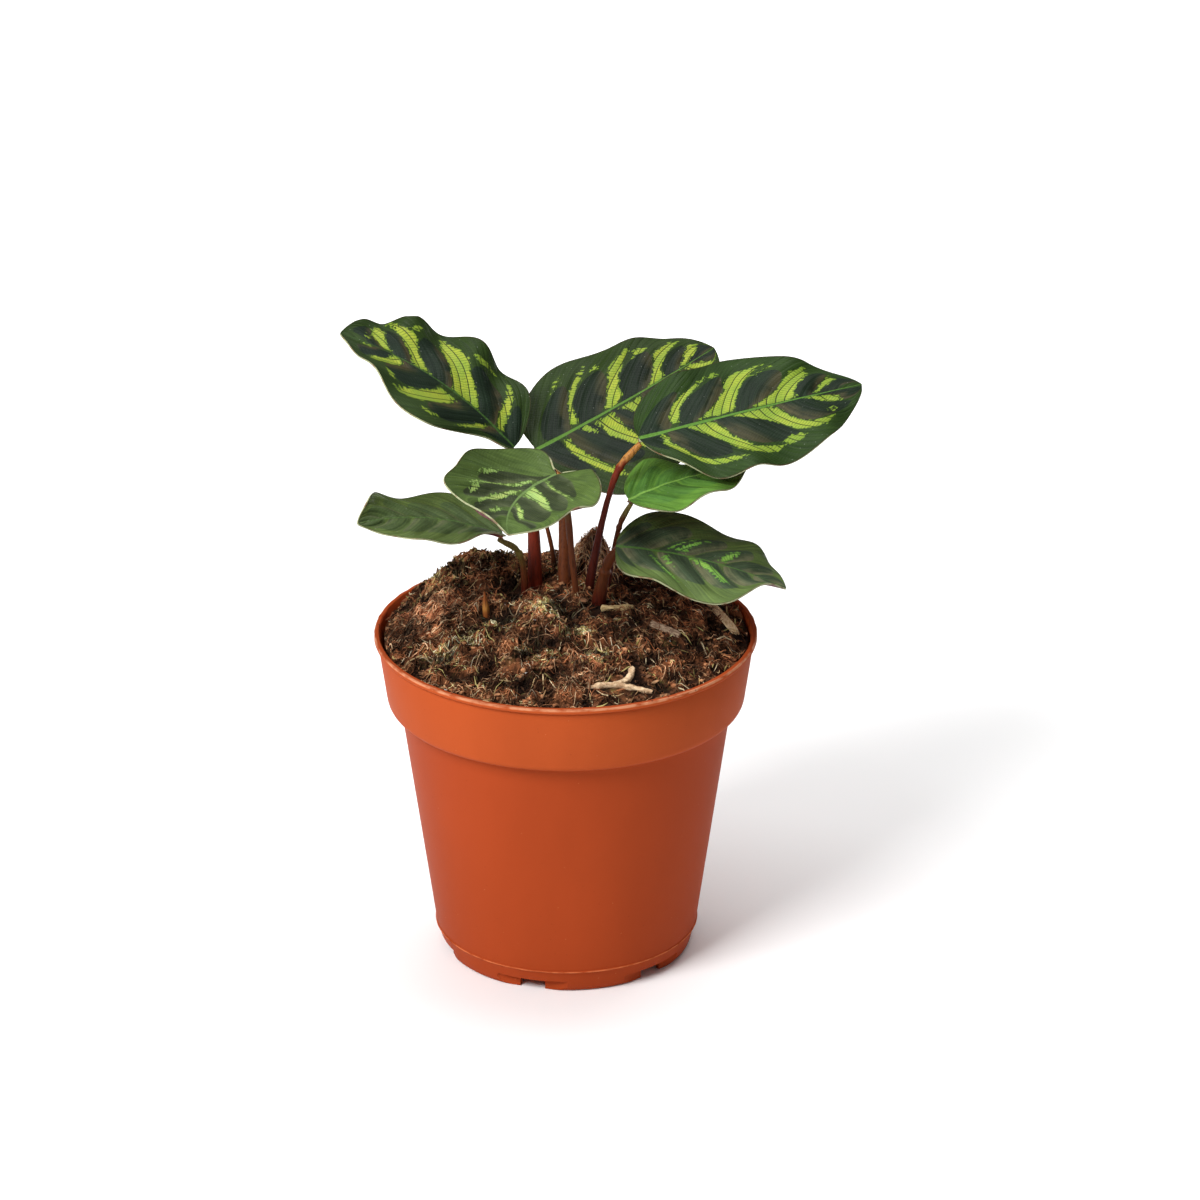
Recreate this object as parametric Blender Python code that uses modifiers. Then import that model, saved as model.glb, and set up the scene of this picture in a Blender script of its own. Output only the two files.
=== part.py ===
"""A young peacock plant in a plastic nursery pot.

Seven waved leaves stand on seven leaf stalks, which rise through plain holes in a mound of
potting soil from a rootstock with thick roots. The pot is an open moulded shell with a collar,
drain holes and notches in its foot ring. Sizes are in millimetres and angles in degrees. The
origin is on the pot's axis, at the surface that the pot stands on, and -Y is the front.
"""

import math
import random
from collections import namedtuple

import bmesh
import bpy
import numpy as np
from mathutils import Matrix, Vector, noise

MM = 0.001
TURN = 2 * math.pi

# Room between pieces that touch, and how near two corners are one
GAP = 0.3
MERGE = 0.001

# Pot, outer radii and heights from the foot up
POT_HEIGHT = 96.0
WALL = 1.2
FOOT_RADIUS = 35.8
FOOT_WIDTH = 2.6
FOOT_ROUND = 1.0
BODY_FOOT_RADIUS = 37.0
BODY_TOP_RADIUS = 46.9
BODY_TOP_HEIGHT = 75.0
BEAD_HEIGHT = 6.8
BEAD_RISE = 0.7
BEAD_ABOVE = 1.05
BEAD_BELOW = 0.7
LEDGE_RADIUS = 49.0
CORNER_RADIUS = 50.1
CORNER_HEIGHT = 75.5
COLLAR_FOOT_RADIUS = 50.5
COLLAR_FOOT_HEIGHT = 76.6
COLLAR_TOP_RADIUS = 53.0
LIP_RADIUS = 54.0
LIP_HEIGHT = 1.6
LIP_ROUND = 0.4
FLOOR_UNDERSIDE = 2.2
FLOOR_THICKNESS = 1.4
PAD_RADIUS = 13.0
POT_STEPS = 48
ARC_COUNT = 4

# Foot notches and drain holes
NOTCH_COUNT = 6
NOTCH_WIDTH = 6.5
NOTCH_SHOULDER_WIDTH = 14.0
NOTCH_SHOULDER_HEIGHT = 1.2
NOTCH_DEPTH = 7.8
NOTCH_FIRST_ANGLE = -106.0
DRAIN_RADIUS = 3.5
DRAIN_CIRCLE = 23.0
DRAIN_SIDES = 16
DRAIN_CUT_DEPTH = 5.6

# Soil mound: its edge height round the wall, and how much it swells to the middle
SOIL_EDGE = 96.0
SOIL_BACK_RISE = 2.0
SOIL_SIDE_DIP = 2.0
SOIL_SWELL = 8.0
SOIL_SWELL_POWER = 1.2
SOIL_RINGS = (5.0, 10.5, 16.5, 22.5, 28.5, 34.5, 40.0, 45.0)
CLOD_SIZE = 9.0
CLOD_HEIGHT = 1.6
CLOD_EDGE_BAND = 6.0

# Leaf blades: rows run across from margin to margin and crowd a little at the base and tip;
# the margin's waves fade in over the first share of the length and out over the last
BLADE_THICKNESS = 0.7
RIB_THICKNESS = 1.3
RIB_HALF_WIDTH = 0.07
BLADE_COLUMNS = (0.0, RIB_HALF_WIDTH, 0.36, 0.68, 1.0)
LARGE_LEAF = 44.0
ROWS_LARGE = 16
ROWS_SMALL = 12
ROW_CROWDING = 0.5
WAVE_FADE_IN = 0.25
WAVE_FADE_OUT = 0.2
BASE_FULLNESS = 0.5
TIP_FULLNESS = 0.72
REACH_STATIONS = (0.0, 0.1, 0.3, 0.5, 0.7, 0.9, 1.0)
LOBE_STATION = 0.07
PLEAT_HEIGHT = 0.25
MIDRIB_SAMPLES = 24

# Stalks, and how far along the midrib they meet the blade's underside
JOINT_REACH = 0.6
STALK_SEGMENTS = 8
STALK_BEVEL = 2
STALK_FOOT = 96.3
HOLE_FOOT = 91.8
ROOT_BEVEL = 1
ROOT_SEGMENTS = 5
ROOT_COUNT = 7
SEED = 7

# Angles past which an edge stays sharp: on moulded, grown and split surfaces
SHARP_MOULDED = 30.0
SHARP_GROWN = 60.0
SHARP_SPLIT = 20.0

# Roughness of the plastic, of blades, of stalks, of the spear, of dry wood and of soil
PLASTIC_ROUGHNESS = 0.42
BLADE_ROUGHNESS = 0.4
STALK_ROUGHNESS = 0.45
SPEAR_ROUGHNESS = 0.5
WOOD_ROUGHNESS = 0.8
SOIL_ROUGHNESS = 0.95

LEAF_GREEN = (0.045, 0.13, 0.03)
LEAF_PLAIN_GREEN = (0.06, 0.20, 0.03)
LEAF_DARK_GREEN = (0.03, 0.085, 0.035)
STALK_RED = (0.16, 0.02, 0.015)
STALK_BROWN = (0.17, 0.06, 0.02)
SPEAR_ORANGE = (0.55, 0.15, 0.04)
TERRACOTTA = (0.50, 0.11, 0.035)
SOIL_BROWN = (0.07, 0.035, 0.018)
TWIG_TAN = (0.42, 0.27, 0.13)
CHIP_TAN = (0.45, 0.28, 0.14)
ROOT_TAN = (0.38, 0.24, 0.12)

# Half of a blade: how far the margin reaches at five stations, how far it is swept to the tip,
# how far its base lobe hangs back, and the height, number and start of its waves
Side = namedtuple("Side", "reach sweep lobe wave waves start")

# A leaf: the place of its base, the direction in which its midrib sets out and how it changes
# over the length, how the blade is rolled, twisted and folded, its length, its two halves, its
# colour, and at the joint with its stalk the stalk's radius and its depth under the upper face
Leaf = namedtuple(
    "Leaf",
    "name base heading pitch droop turn roll twist fold curl length left right colour joint seat",
)

LEAVES = (
    Leaf(
        "upper_left", (-14.5, 24.0, 141.5), 164, 47, 32, 6, -13, 1, 15, -4, 59.5,
        Side((11.5, 26.5, 23.0, 16.0, 12.0), 6.5, -0.5, 1.1, 2.8, 0.38),
        Side((25.5, 19.0, 19.0, 16.5, 21.0), 3.5, -0.5, 3.0, 3.2, 0.09),
        LEAF_GREEN, 1.1, 1.2,
    ),
    Leaf(
        "back", (-8.5, 28.5, 139.0), 28, 17, -1, 7, 27, -5, 4, -6, 62.5,
        Side((24.0, 23.5, 19.0, 20.0, 20.0), 7.5, 2.5, 1.3, 2.3, 0.92),
        Side((30.0, 30.0, 26.5, 24.5, 27.5), -0.5, -0.5, 1.3, 2.4, 0.44),
        LEAF_GREEN, 1.2, 1.2,
    ),
    Leaf(
        "right", (20.5, 10.0, 150.0), 25, 5, 6, 7, 20, 6, 9, -11, 72.5,
        Side((22.5, 20.0, 24.0, 18.5, 20.5), 3.0, 0.0, 2.9, 2.1, 0.74),
        Side((18.5, 22.5, 21.0, 23.5, 21.0), -3.5, -0.5, 2.2, 3.0, 0.09),
        LEAF_GREEN, 1.0, 1.6,
    ),
    Leaf(
        "front", (-2.5, 4.5, 141.5), 229, 1, 1, 50, -4, -14, 14, 9, 47.5,
        Side((22.5, 25.0, 24.0, 22.5, 25.0), 6.5, 5.5, 1.8, 1.8, 0.97),
        Side((18.5, 18.0, 19.0, 25.0, 16.5), 5.0, 7.0, 2.5, 1.5, 0.67),
        LEAF_GREEN, 0.9, 1.0,
    ),
    Leaf(
        "low_left", (-17.5, 4.0, 123.5), 190, 25, 21, 34, 9, -42, 11, -4, 47.0,
        Side((12.0, 15.0, 14.0, 14.0, 8.5), 4.0, 1.5, 1.3, 1.8, 0.07),
        Side((13.0, 13.5, 11.5, 12.5, 8.5), 3.0, 1.5, 2.8, 1.3, 0.07),
        LEAF_DARK_GREEN, 0.8, 1.2,
    ),
    Leaf(
        "small_right", (17.5, 4.0, 134.0), 18, 21, 23, -5, 8, -9, 8, -9, 35.0,
        Side((15.5, 14.5, 12.0, 14.5, 14.0), 2.5, 0.5, 1.9, 1.6, 0.91),
        Side((13.5, 15.0, 14.5, 14.0, 14.5), 2.0, -0.5, 1.4, 1.6, 0.46),
        LEAF_PLAIN_GREEN, 0.7, 1.1,
    ),
    Leaf(
        "low_right", (14.0, -2.0, 122.5), -2, -4, 23, 6, 20, -20, 10, -5, 50.0,
        Side((22.5, 16.5, 17.0, 18.0, 20.5), 9.0, -1.0, 1.1, 2.6, 0.54),
        Side((20.5, 18.5, 19.5, 23.5, 14.0), -1.5, 1.0, 3.1, 1.3, 0.05),
        LEAF_DARK_GREEN, 0.9, 1.0,
    ),
)

# Routes of the leaf stalks, as (x, y, z, radius) from the foot to a little short of the blade
STALKS = {
    "upper_left": (
        (-8.7, 12.5, STALK_FOOT, 2.3), (-8.8, 13.0, 104.0, 2.2), (-9.2, 15.5, 120.0, 1.7),
        (-10.9, 20.0, 132.0, 1.4),
    ),
    "back": (
        (-0.5, 8.6, STALK_FOOT, 1.9), (-0.5, 9.4, 105.0, 1.8), (-0.6, 15.0, 120.0, 1.5),
        (-1.2, 25.0, 131.0, 1.4),
    ),
    "right": (
        (5.7, 6.0, STALK_FOOT, 1.7), (6.0, 6.1, 103.0, 1.5), (9.0, 7.0, 120.0, 1.1),
        (12.2, 8.4, 133.5, 1.0), (15.2, 9.4, 141.5, 1.3),
    ),
    "front": (
        (3.4, 2.0, STALK_FOOT, 1.1), (3.1, 2.3, 103.0, 1.0), (1.6, 3.2, 118.0, 0.9),
        (0.3, 4.0, 131.0, 1.0),
    ),
    "low_left": (
        (-11.9, 8.6, STALK_FOOT, 1.1), (-11.6, 8.3, 104.0, 1.0), (-12.2, 7.4, 113.0, 0.9),
        (-14.0, 6.0, 118.0, 1.0),
    ),
    "small_right": (
        (11.2, 8.6, STALK_FOOT, 0.9), (11.5, 8.3, 103.0, 0.8), (13.6, 6.6, 118.0, 0.7),
        (15.6, 5.0, 127.0, 0.9),
    ),
    "low_right": (
        (8.9, 1.6, STALK_FOOT, 2.2), (9.2, 1.4, 103.5, 2.1), (10.8, 0.6, 112.5, 1.5),
        (12.2, -0.4, 117.4, 1.3),
    ),
}

RED_STALKS = ("upper_left", "right")

# A dry stalk left at the back, from its foot up to its broken end
DRY_STALK = ((-3.2, 27.0, STALK_FOOT, 0.8), (-3.9, 27.4, 108.0, 0.7), (-7.0, 28.0, 121.0, 0.5))

# Young rolled leaf that breaks through the soil, from its foot up to its point
SPEAR = (
    (-22.0, -2.0, 98.5, 0.9), (-22.3, -2.1, 102.0, 1.3), (-22.6, -2.1, 105.5, 0.9),
    (-22.8, -2.2, 108.5, 0.25),
)

# Litter on the soil: chips are (x, y, heading, length, width, thickness), twigs are routes
WOOD_CHIP = (44.2, 7.0, 112.0, 19.0, 2.6, 1.2)
BARK_STICK = (27.8, -10.0, -28.0, 9.5, 1.8, 1.6)
CHIP_SINK = 0.3
CHIP_ROUND = 0.25
TWIG_RADIUS = 0.8
TWIG_SINK = 0.2
SHORT_TWIG = ((10.0, -3.6), (14.4, -2.4), (18.8, -0.4))
FORKED_TWIG = (
    ((6.5, -41.5), (14.0, -40.0), (24.0, -41.0)),
    ((13.4, -40.2), (17.5, -36.5), (18.5, -32.0)),
)

# Rootstock: knuckles as (x, y, z, radius)
KNUCKLES = (
    (-9.5, 12.0, 89.5, 6.0), (-2.5, 10.5, 89.0, 6.6), (4.5, 6.0, 89.0, 6.4), (9.5, 5.0, 90.0, 5.6),
)
ROOT_SPREAD = (20.0, 33.0)
ROOT_DEPTH = (18.0, 62.0)
ROOT_RADII = (1.5, 1.0, 0.6)
ROOT_DROP = 1.0
ROOT_BULGE = 7.0
ROOT_UNEVENNESS = 0.25


def clear_scene():
    for item in list(bpy.data.objects):
        bpy.data.objects.remove(item, do_unlink=True)


def new_collection(name):
    collection = bpy.data.collections.new(name)
    bpy.context.scene.collection.children.link(collection)
    return collection


def make_material(name, colour, roughness):
    material = bpy.data.materials.new(name)
    material.use_nodes = True
    shader = material.node_tree.nodes["Principled BSDF"]
    shader.inputs["Base Color"].default_value = (*colour, 1.0)
    shader.inputs["Roughness"].default_value = roughness
    shader.inputs["Metallic"].default_value = 0.0
    return material


def add_object(name, mesh, collection, material=None, sharp_angle=SHARP_GROWN):
    item = bpy.data.objects.new(name, mesh)
    collection.objects.link(item)
    if material:
        mesh.materials.append(material)
        mesh.shade_smooth()
        mesh.set_sharp_from_angle(angle=math.radians(sharp_angle))
    return item


def add_cutter(name, mesh, collection):
    """A body that is only cut out of another one."""
    item = add_object(name, mesh, collection)
    item.hide_render = True
    item.display_type = "WIRE"


def evaluated_mesh(item):
    """The object's mesh with its modifiers, in world space."""
    graph = bpy.context.evaluated_depsgraph_get()
    mesh = bpy.data.meshes.new_from_object(item.evaluated_get(graph))
    mesh.transform(item.matrix_world)
    return mesh


def smooth_value(stations, values, at):
    """A smooth curve through the values at the stations, read at an array of places."""
    stations = np.asarray(stations, float)
    values = np.asarray(values, float)
    slopes = np.diff(values) / np.diff(stations)
    inner = (values[2:] - values[:-2]) / (stations[2:] - stations[:-2])
    slopes = np.concatenate([slopes[:1], inner, slopes[-1:]])
    left = np.clip(np.searchsorted(stations, at, side="right") - 1, 0, len(stations) - 2)
    span = stations[left + 1] - stations[left]
    part = (at - stations[left]) / span
    return (
        (2 * part**3 - 3 * part**2 + 1) * values[left]
        + (part**3 - 2 * part**2 + part) * span * slopes[left]
        + (3 * part**2 - 2 * part**3) * values[left + 1]
        + (part**3 - part**2) * span * slopes[left + 1]
    )


def smooth_route(points, segments):
    """Points along a smooth curve through a few given points, each with its radius."""
    points = np.asarray(points, float)
    steps = np.linalg.norm(np.diff(points[:, :3], axis=0), axis=1)
    run = np.concatenate([[0.0], np.cumsum(steps)])
    at = np.linspace(0.0, run[-1], segments + 1)
    return np.stack([smooth_value(run, points[:, k], at) for k in range(points.shape[1])], axis=1)


def tube_mesh(name, route, bevel, extra=0.0):
    """A round tube with closed ends along a route of (x, y, z, radius)."""
    curve = bpy.data.curves.new(name, "CURVE")
    curve.dimensions = "3D"
    curve.bevel_depth = MM
    curve.bevel_resolution = bevel
    curve.use_fill_caps = True
    spline = curve.splines.new("POLY")
    spline.points.add(len(route) - 1)
    first = Vector(route[0][:3]) - Vector(route[1][:3])
    last = Vector(route[-1][:3]) - Vector(route[-2][:3])
    for index, (x, y, z, radius) in enumerate(route):
        place = Vector((x, y, z))
        if index == 0:
            place += first.normalized() * extra
        if index == len(route) - 1:
            place += last.normalized() * extra
        spline.points[index].co = (*(place * MM), 1.0)
        spline.points[index].radius = radius + extra
    guide = bpy.data.objects.new(name, curve)
    bpy.context.scene.collection.objects.link(guide)
    bpy.context.view_layer.update()
    mesh = evaluated_mesh(guide)
    bpy.data.objects.remove(guide, do_unlink=True)
    body = bmesh.new()
    body.from_mesh(mesh)
    bmesh.ops.remove_doubles(body, verts=body.verts, dist=MERGE * MM)
    bmesh.ops.recalc_face_normals(body, faces=body.faces)
    body.to_mesh(mesh)
    body.free()
    return mesh


def turned_mesh(name, profile, steps):
    """A solid turned round Z from a profile that runs down its outer side."""
    mesh = bpy.data.meshes.new(name)
    rows = [(radius * MM, 0.0, height * MM) for radius, height in profile]
    mesh.from_pydata(rows, [(k, k + 1) for k in range(len(rows) - 1)], [])
    guide = bpy.data.objects.new(name, mesh)
    bpy.context.scene.collection.objects.link(guide)
    screw = guide.modifiers.new("turn", "SCREW")
    screw.axis = "Z"
    screw.steps = steps
    screw.render_steps = steps
    screw.use_merge_vertices = True
    screw.merge_threshold = MERGE * MM
    bpy.context.view_layer.update()
    turned = evaluated_mesh(guide)
    bpy.data.objects.remove(guide, do_unlink=True)
    return turned


def fused_mesh(name, meshes):
    """One solid from several that run into each other."""
    pile = new_collection(name + "_pieces")
    for index, mesh in enumerate(meshes[1:]):
        add_object(name + "_piece_" + str(index), mesh, pile)
    core = bpy.data.objects.new(name + "_core", meshes[0])
    bpy.context.scene.collection.objects.link(core)
    union = core.modifiers.new("fuse", "BOOLEAN")
    union.operation = "UNION"
    union.operand_type = "COLLECTION"
    union.collection = pile
    union.solver = "EXACT"
    bpy.context.view_layer.update()
    mesh = evaluated_mesh(core)
    for item in list(pile.objects):
        bpy.data.objects.remove(item, do_unlink=True)
    bpy.data.objects.remove(core, do_unlink=True)
    bpy.data.collections.remove(pile)
    return mesh


def add_cut(item, cutters):
    cut = item.modifiers.new("cut", "BOOLEAN")
    cut.operation = "DIFFERENCE"
    cut.operand_type = "COLLECTION"
    cut.collection = cutters
    cut.solver = "EXACT"


def arc_points(centre, radius, start, end):
    """Points along an arc, in a profile's plane."""
    angles = np.radians(np.linspace(start, end, ARC_COUNT))
    return [(centre[0] + radius * math.cos(a), centre[1] + radius * math.sin(a)) for a in angles]


def pot_profile():
    """The pot's section from the middle of its floor out, over the lip and back underneath."""
    floor_top = FLOOR_UNDERSIDE + FLOOR_THICKNESS
    shelf = BODY_TOP_HEIGHT + WALL
    lip_underside = POT_HEIGHT - LIP_HEIGHT
    lip_corner = (LIP_RADIUS - LIP_ROUND, POT_HEIGHT - LIP_ROUND)
    foot_corner = (FOOT_RADIUS - FOOT_ROUND, FOOT_ROUND)
    inner = [
        (0.0, floor_top),
        (BODY_FOOT_RADIUS - WALL, floor_top),
        (BODY_TOP_RADIUS - WALL, shelf),
        (COLLAR_FOOT_RADIUS - WALL, shelf),
        (COLLAR_TOP_RADIUS - WALL, POT_HEIGHT),
    ]
    outer = arc_points(lip_corner, LIP_ROUND, 90, 0)
    outer += [
        (LIP_RADIUS, lip_underside),
        (COLLAR_TOP_RADIUS, lip_underside),
        (COLLAR_FOOT_RADIUS, COLLAR_FOOT_HEIGHT),
        (CORNER_RADIUS, CORNER_HEIGHT),
        (LEDGE_RADIUS, BODY_TOP_HEIGHT),
        (BODY_TOP_RADIUS, BODY_TOP_HEIGHT),
        (BODY_FOOT_RADIUS + BEAD_RISE / 2, BEAD_HEIGHT + BEAD_ABOVE),
        (BODY_FOOT_RADIUS + BEAD_RISE, BEAD_HEIGHT),
        (BODY_FOOT_RADIUS, BEAD_HEIGHT - BEAD_BELOW),
    ]
    foot = arc_points(foot_corner, FOOT_ROUND, 0, -90)
    foot += [
        (FOOT_RADIUS - FOOT_WIDTH, 0.0),
        (FOOT_RADIUS - FOOT_WIDTH, FLOOR_UNDERSIDE),
        (PAD_RADIUS, FLOOR_UNDERSIDE),
        (PAD_RADIUS, 0.0),
        (0.0, 0.0),
    ]
    return inner + outer + foot


def box_mesh(name, size, place, heading, tilt=0.0, rounding=0.0):
    """A box of the given size, turned to a heading and tilted along its length."""
    body = bmesh.new()
    bmesh.ops.create_cube(body, size=1.0)
    bmesh.ops.scale(body, vec=Vector(size) * MM, verts=body.verts)
    if rounding:
        bmesh.ops.bevel(
            body, geom=list(body.edges), offset=rounding * MM, segments=1, affect="EDGES"
        )
    turn = Matrix.Rotation(math.radians(heading), 4, "Z")
    lean = Matrix.Rotation(math.radians(-tilt), 4, "Y")
    body.transform(Matrix.Translation(Vector(place) * MM) @ turn @ lean)
    mesh = bpy.data.meshes.new(name)
    body.to_mesh(mesh)
    body.free()
    return mesh


def make_pot(parts, cutters):
    material = make_material("terracotta_plastic", TERRACOTTA, PLASTIC_ROUGHNESS)
    mesh = turned_mesh("pot", pot_profile(), POT_STEPS)
    pot = add_object("pot", mesh, parts, material, SHARP_MOULDED)
    reach = FOOT_RADIUS - FOOT_WIDTH / 2
    for index in range(NOTCH_COUNT):
        heading = NOTCH_FIRST_ANGLE + index * 360 / NOTCH_COUNT
        along = Vector((math.cos(math.radians(heading)), math.sin(math.radians(heading)), 0.0))
        sizes = (
            (NOTCH_WIDTH, FLOOR_UNDERSIDE),
            (NOTCH_SHOULDER_WIDTH, NOTCH_SHOULDER_HEIGHT),
        )
        notch = [
            box_mesh("notch", (NOTCH_DEPTH, width, 2 * height), along * reach, heading)
            for width, height in sizes
        ]
        name = "notch_cutter_" + str(index)
        add_cutter(name, fused_mesh(name, notch), cutters)
        place = Matrix.Rotation(math.radians(heading), 4, "Z")
        place = place @ Matrix.Translation((DRAIN_CIRCLE * MM, 0.0, FLOOR_UNDERSIDE * MM))
        hole = bmesh.new()
        bmesh.ops.create_cone(
            hole, cap_ends=True, segments=DRAIN_SIDES, radius1=DRAIN_RADIUS * MM,
            radius2=DRAIN_RADIUS * MM, depth=DRAIN_CUT_DEPTH * MM, matrix=place,
        )
        mesh = bpy.data.meshes.new("drain")
        hole.to_mesh(mesh)
        hole.free()
        add_cutter("drain_cutter_" + str(index), mesh, cutters)
    add_cut(pot, cutters)


def soil_radius(height=POT_HEIGHT):
    """How far the soil reaches inside the collar at a height, and above the rim."""
    slope = (COLLAR_TOP_RADIUS - COLLAR_FOOT_RADIUS) / (POT_HEIGHT - COLLAR_FOOT_HEIGHT)
    return COLLAR_TOP_RADIUS - WALL - GAP - slope * max(0.0, POT_HEIGHT - height)


def soil_height(x, y):
    """Height of the soil's surface at a place, without its clods."""
    radius = soil_radius()
    edge = SOIL_EDGE + SOIL_BACK_RISE * y / radius - SOIL_SIDE_DIP * (x / radius) ** 2
    inside = max(0.0, 1.0 - (x * x + y * y) / radius**2)
    return edge + SOIL_SWELL * inside**SOIL_SWELL_POWER


def clod_lift(x, y):
    """How far a clod lifts the soil's surface at a place; none at the pot's wall."""
    from_wall = soil_radius() - math.hypot(x, y)
    share = min(1.0, max(0.0, from_wall / CLOD_EDGE_BAND))
    return CLOD_HEIGHT * share * noise.noise(Vector((x, y, 0.0)) / CLOD_SIZE)


def make_soil(parts, cutters):
    bottom = FLOOR_UNDERSIDE + FLOOR_THICKNESS + GAP
    shelf = BODY_TOP_HEIGHT + WALL + GAP
    side = [
        (soil_radius(), SOIL_EDGE),
        (soil_radius(shelf), shelf),
        (BODY_TOP_RADIUS - WALL - GAP, shelf),
        (BODY_FOOT_RADIUS - WALL - GAP, bottom),
        (0.0, bottom),
    ]
    profile = [(radius, SOIL_EDGE) for radius in (0.0, *SOIL_RINGS)] + side
    mesh = turned_mesh("soil", profile, POT_STEPS)
    for vertex in mesh.vertices:
        if vertex.co.z > (SOIL_EDGE - GAP) * MM:
            x = vertex.co.x / MM
            y = vertex.co.y / MM
            height = soil_height(x, y) + clod_lift(x, y)
            squeeze = max(1.0, math.hypot(x, y) / soil_radius(height))
            vertex.co = Vector((x / squeeze, y / squeeze, height)) * MM
    material = make_material("potting_soil", SOIL_BROWN, SOIL_ROUGHNESS)
    add_cut(add_object("soil", mesh, parts, material), cutters)


def blade_frame(heading, pitch, roll):
    """Directions along a midrib, across to its left, and out of the blade's upper face."""
    heading, pitch, roll = (np.radians(np.asarray(v, float)) for v in (heading, pitch, roll))
    along = np.stack(
        [np.cos(pitch) * np.cos(heading), np.cos(pitch) * np.sin(heading), np.sin(pitch)], -1
    )
    level = np.stack([-np.sin(heading), np.cos(heading), 0 * heading], -1)
    raised = np.cross(along, level)
    across = level * np.cos(roll)[..., None] + raised * np.sin(roll)[..., None]
    return along, across, np.cross(along, across)


def leaf_frame(leaf, share):
    share = np.clip(share, 0.0, 1.0)
    return blade_frame(
        leaf.heading + leaf.turn * share,
        leaf.pitch - leaf.droop * share,
        leaf.roll + leaf.twist * share,
    )


def midrib_place(leaf, share):
    """Places on the midrib, which runs on straight past both of its ends."""
    stations = np.linspace(0.0, 1.0, MIDRIB_SAMPLES + 1)
    middles = (stations[:-1] + stations[1:]) / 2
    steps = leaf_frame(leaf, middles)[0] * leaf.length / MIDRIB_SAMPLES
    line = np.vstack([[leaf.base], np.asarray(leaf.base) + np.cumsum(steps, axis=0)])
    inside = np.clip(share, 0.0, 1.0)
    place = np.stack([np.interp(inside, stations, line[:, k]) for k in range(3)], -1)
    return place + leaf_frame(leaf, share)[0] * ((share - inside) * leaf.length)[..., None]


def margin_reach(side, share):
    """Half width of a blade, round at its base and drawn out at its tip."""
    low, high = BASE_FULLNESS, TIP_FULLNESS
    peak = (low / (low + high)) ** low * (high / (low + high)) ** high
    reach = (side.reach[0], *side.reach, side.reach[-1])
    full = smooth_value(REACH_STATIONS, reach, share)
    return full * share**low * (1.0 - share) ** high / peak


def blade_points(leaf, share, offset):
    """Places on the upper face, from the base to the tip and from margin to margin."""
    place = np.zeros(share.shape + (3,))
    for sign, side in ((1.0, leaf.left), (-1.0, leaf.right)):
        out = np.abs(offset)
        reach = margin_reach(side, share) * out
        lobe = side.lobe * share / LOBE_STATION * np.exp(1.0 - share / LOBE_STATION)
        shift = side.sweep * np.sin(math.pi * share) - lobe
        station = share + out * shift / leaf.length
        along, across, upward = leaf_frame(leaf, station)
        fold = np.radians(leaf.fold + leaf.curl * out)
        fade = np.minimum(1.0, share / WAVE_FADE_IN)
        fade = fade * np.minimum(1.0, (1.0 - share) / WAVE_FADE_OUT)
        wave = side.wave * np.sin(TURN * (side.waves * share + side.start)) * out**2 * fade
        lift = reach * np.sin(fold) + wave
        half = midrib_place(leaf, station)
        half = half + across * (sign * reach * np.cos(fold))[..., None] + upward * lift[..., None]
        chosen = (offset * sign > 0) | ((offset == 0) & (sign > 0))
        place[chosen] = half[chosen]
    return place


def make_leaf(leaf, parts):
    """A blade: a grid along the midrib and the side veins, bent to its form and thickened."""
    rows = ROWS_LARGE if leaf.length > LARGE_LEAF else ROWS_SMALL
    columns = [-c for c in BLADE_COLUMNS[:0:-1]] + list(BLADE_COLUMNS)
    body = bmesh.new()
    bmesh.ops.create_grid(body, x_segments=rows, y_segments=len(columns) - 1, size=1.0)
    body.verts.ensure_lookup_table()
    flat = np.array([vertex.co[:2] for vertex in body.verts])
    even = (flat[:, 0] + 1.0) / 2
    crowded = (1.0 - np.cos(math.pi * even)) / 2
    share = even + ROW_CROWDING * (crowded - even)
    column = np.rint((flat[:, 1] + 1.0) / 2 * (len(columns) - 1)).astype(int)
    offset = np.array(columns)[column]
    places = blade_points(leaf, share, offset)
    row = np.rint(even * rows).astype(int)
    rise = leaf_frame(leaf, share)[2] * (PLEAT_HEIGHT * np.where(row % 2 == 0, 1.0, -1.0))[:, None]
    crease = 4 * np.abs(offset) * (1.0 - np.abs(offset)) * np.sin(math.pi * share)
    places += rise * crease[:, None]
    for vertex, place in zip(body.verts, places):
        vertex.co = Vector(place) * MM
    bmesh.ops.triangulate(body, faces=body.faces)
    thick = body.verts.layers.deform.new()
    for vertex, out, run in zip(body.verts, offset, share):
        if out == 0.0:
            vertex[thick][0] = float(1.0 - run)
    bmesh.ops.remove_doubles(body, verts=body.verts, dist=MERGE * MM)
    mesh = bpy.data.meshes.new("leaf_" + leaf.name)
    body.to_mesh(mesh)
    body.free()
    material = make_material("leaf_" + leaf.name, leaf.colour, BLADE_ROUGHNESS)
    item = add_object("leaf_" + leaf.name, mesh, parts, material)
    item.vertex_groups.new(name="midrib")
    shell = item.modifiers.new("thickness", "SOLIDIFY")
    shell.thickness = RIB_THICKNESS * MM
    shell.offset = -1.0
    shell.vertex_group = "midrib"
    shell.thickness_vertex_group = BLADE_THICKNESS / RIB_THICKNESS


def joint_place(leaf, before):
    """Where a stalk that comes from a place ends: its rim just clears the blade's underside."""
    along, _, upward = (Vector(axis) for axis in leaf_frame(leaf, 0.0))
    under = Vector(leaf.base) + along * JOINT_REACH - upward * leaf.seat
    lean = (under - Vector(before)).normalized().dot(upward)
    return under - upward * leaf.joint * math.sqrt(max(0.0, 1.0 - lean * lean))


def make_petiole(leaf, parts, cutters):
    points = STALKS[leaf.name]
    end = joint_place(leaf, points[-1][:3])
    colour = STALK_RED if leaf.name in RED_STALKS else STALK_BROWN
    make_stalk("petiole_" + leaf.name, (*points, (*end, leaf.joint)), colour, parts, cutters)


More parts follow.
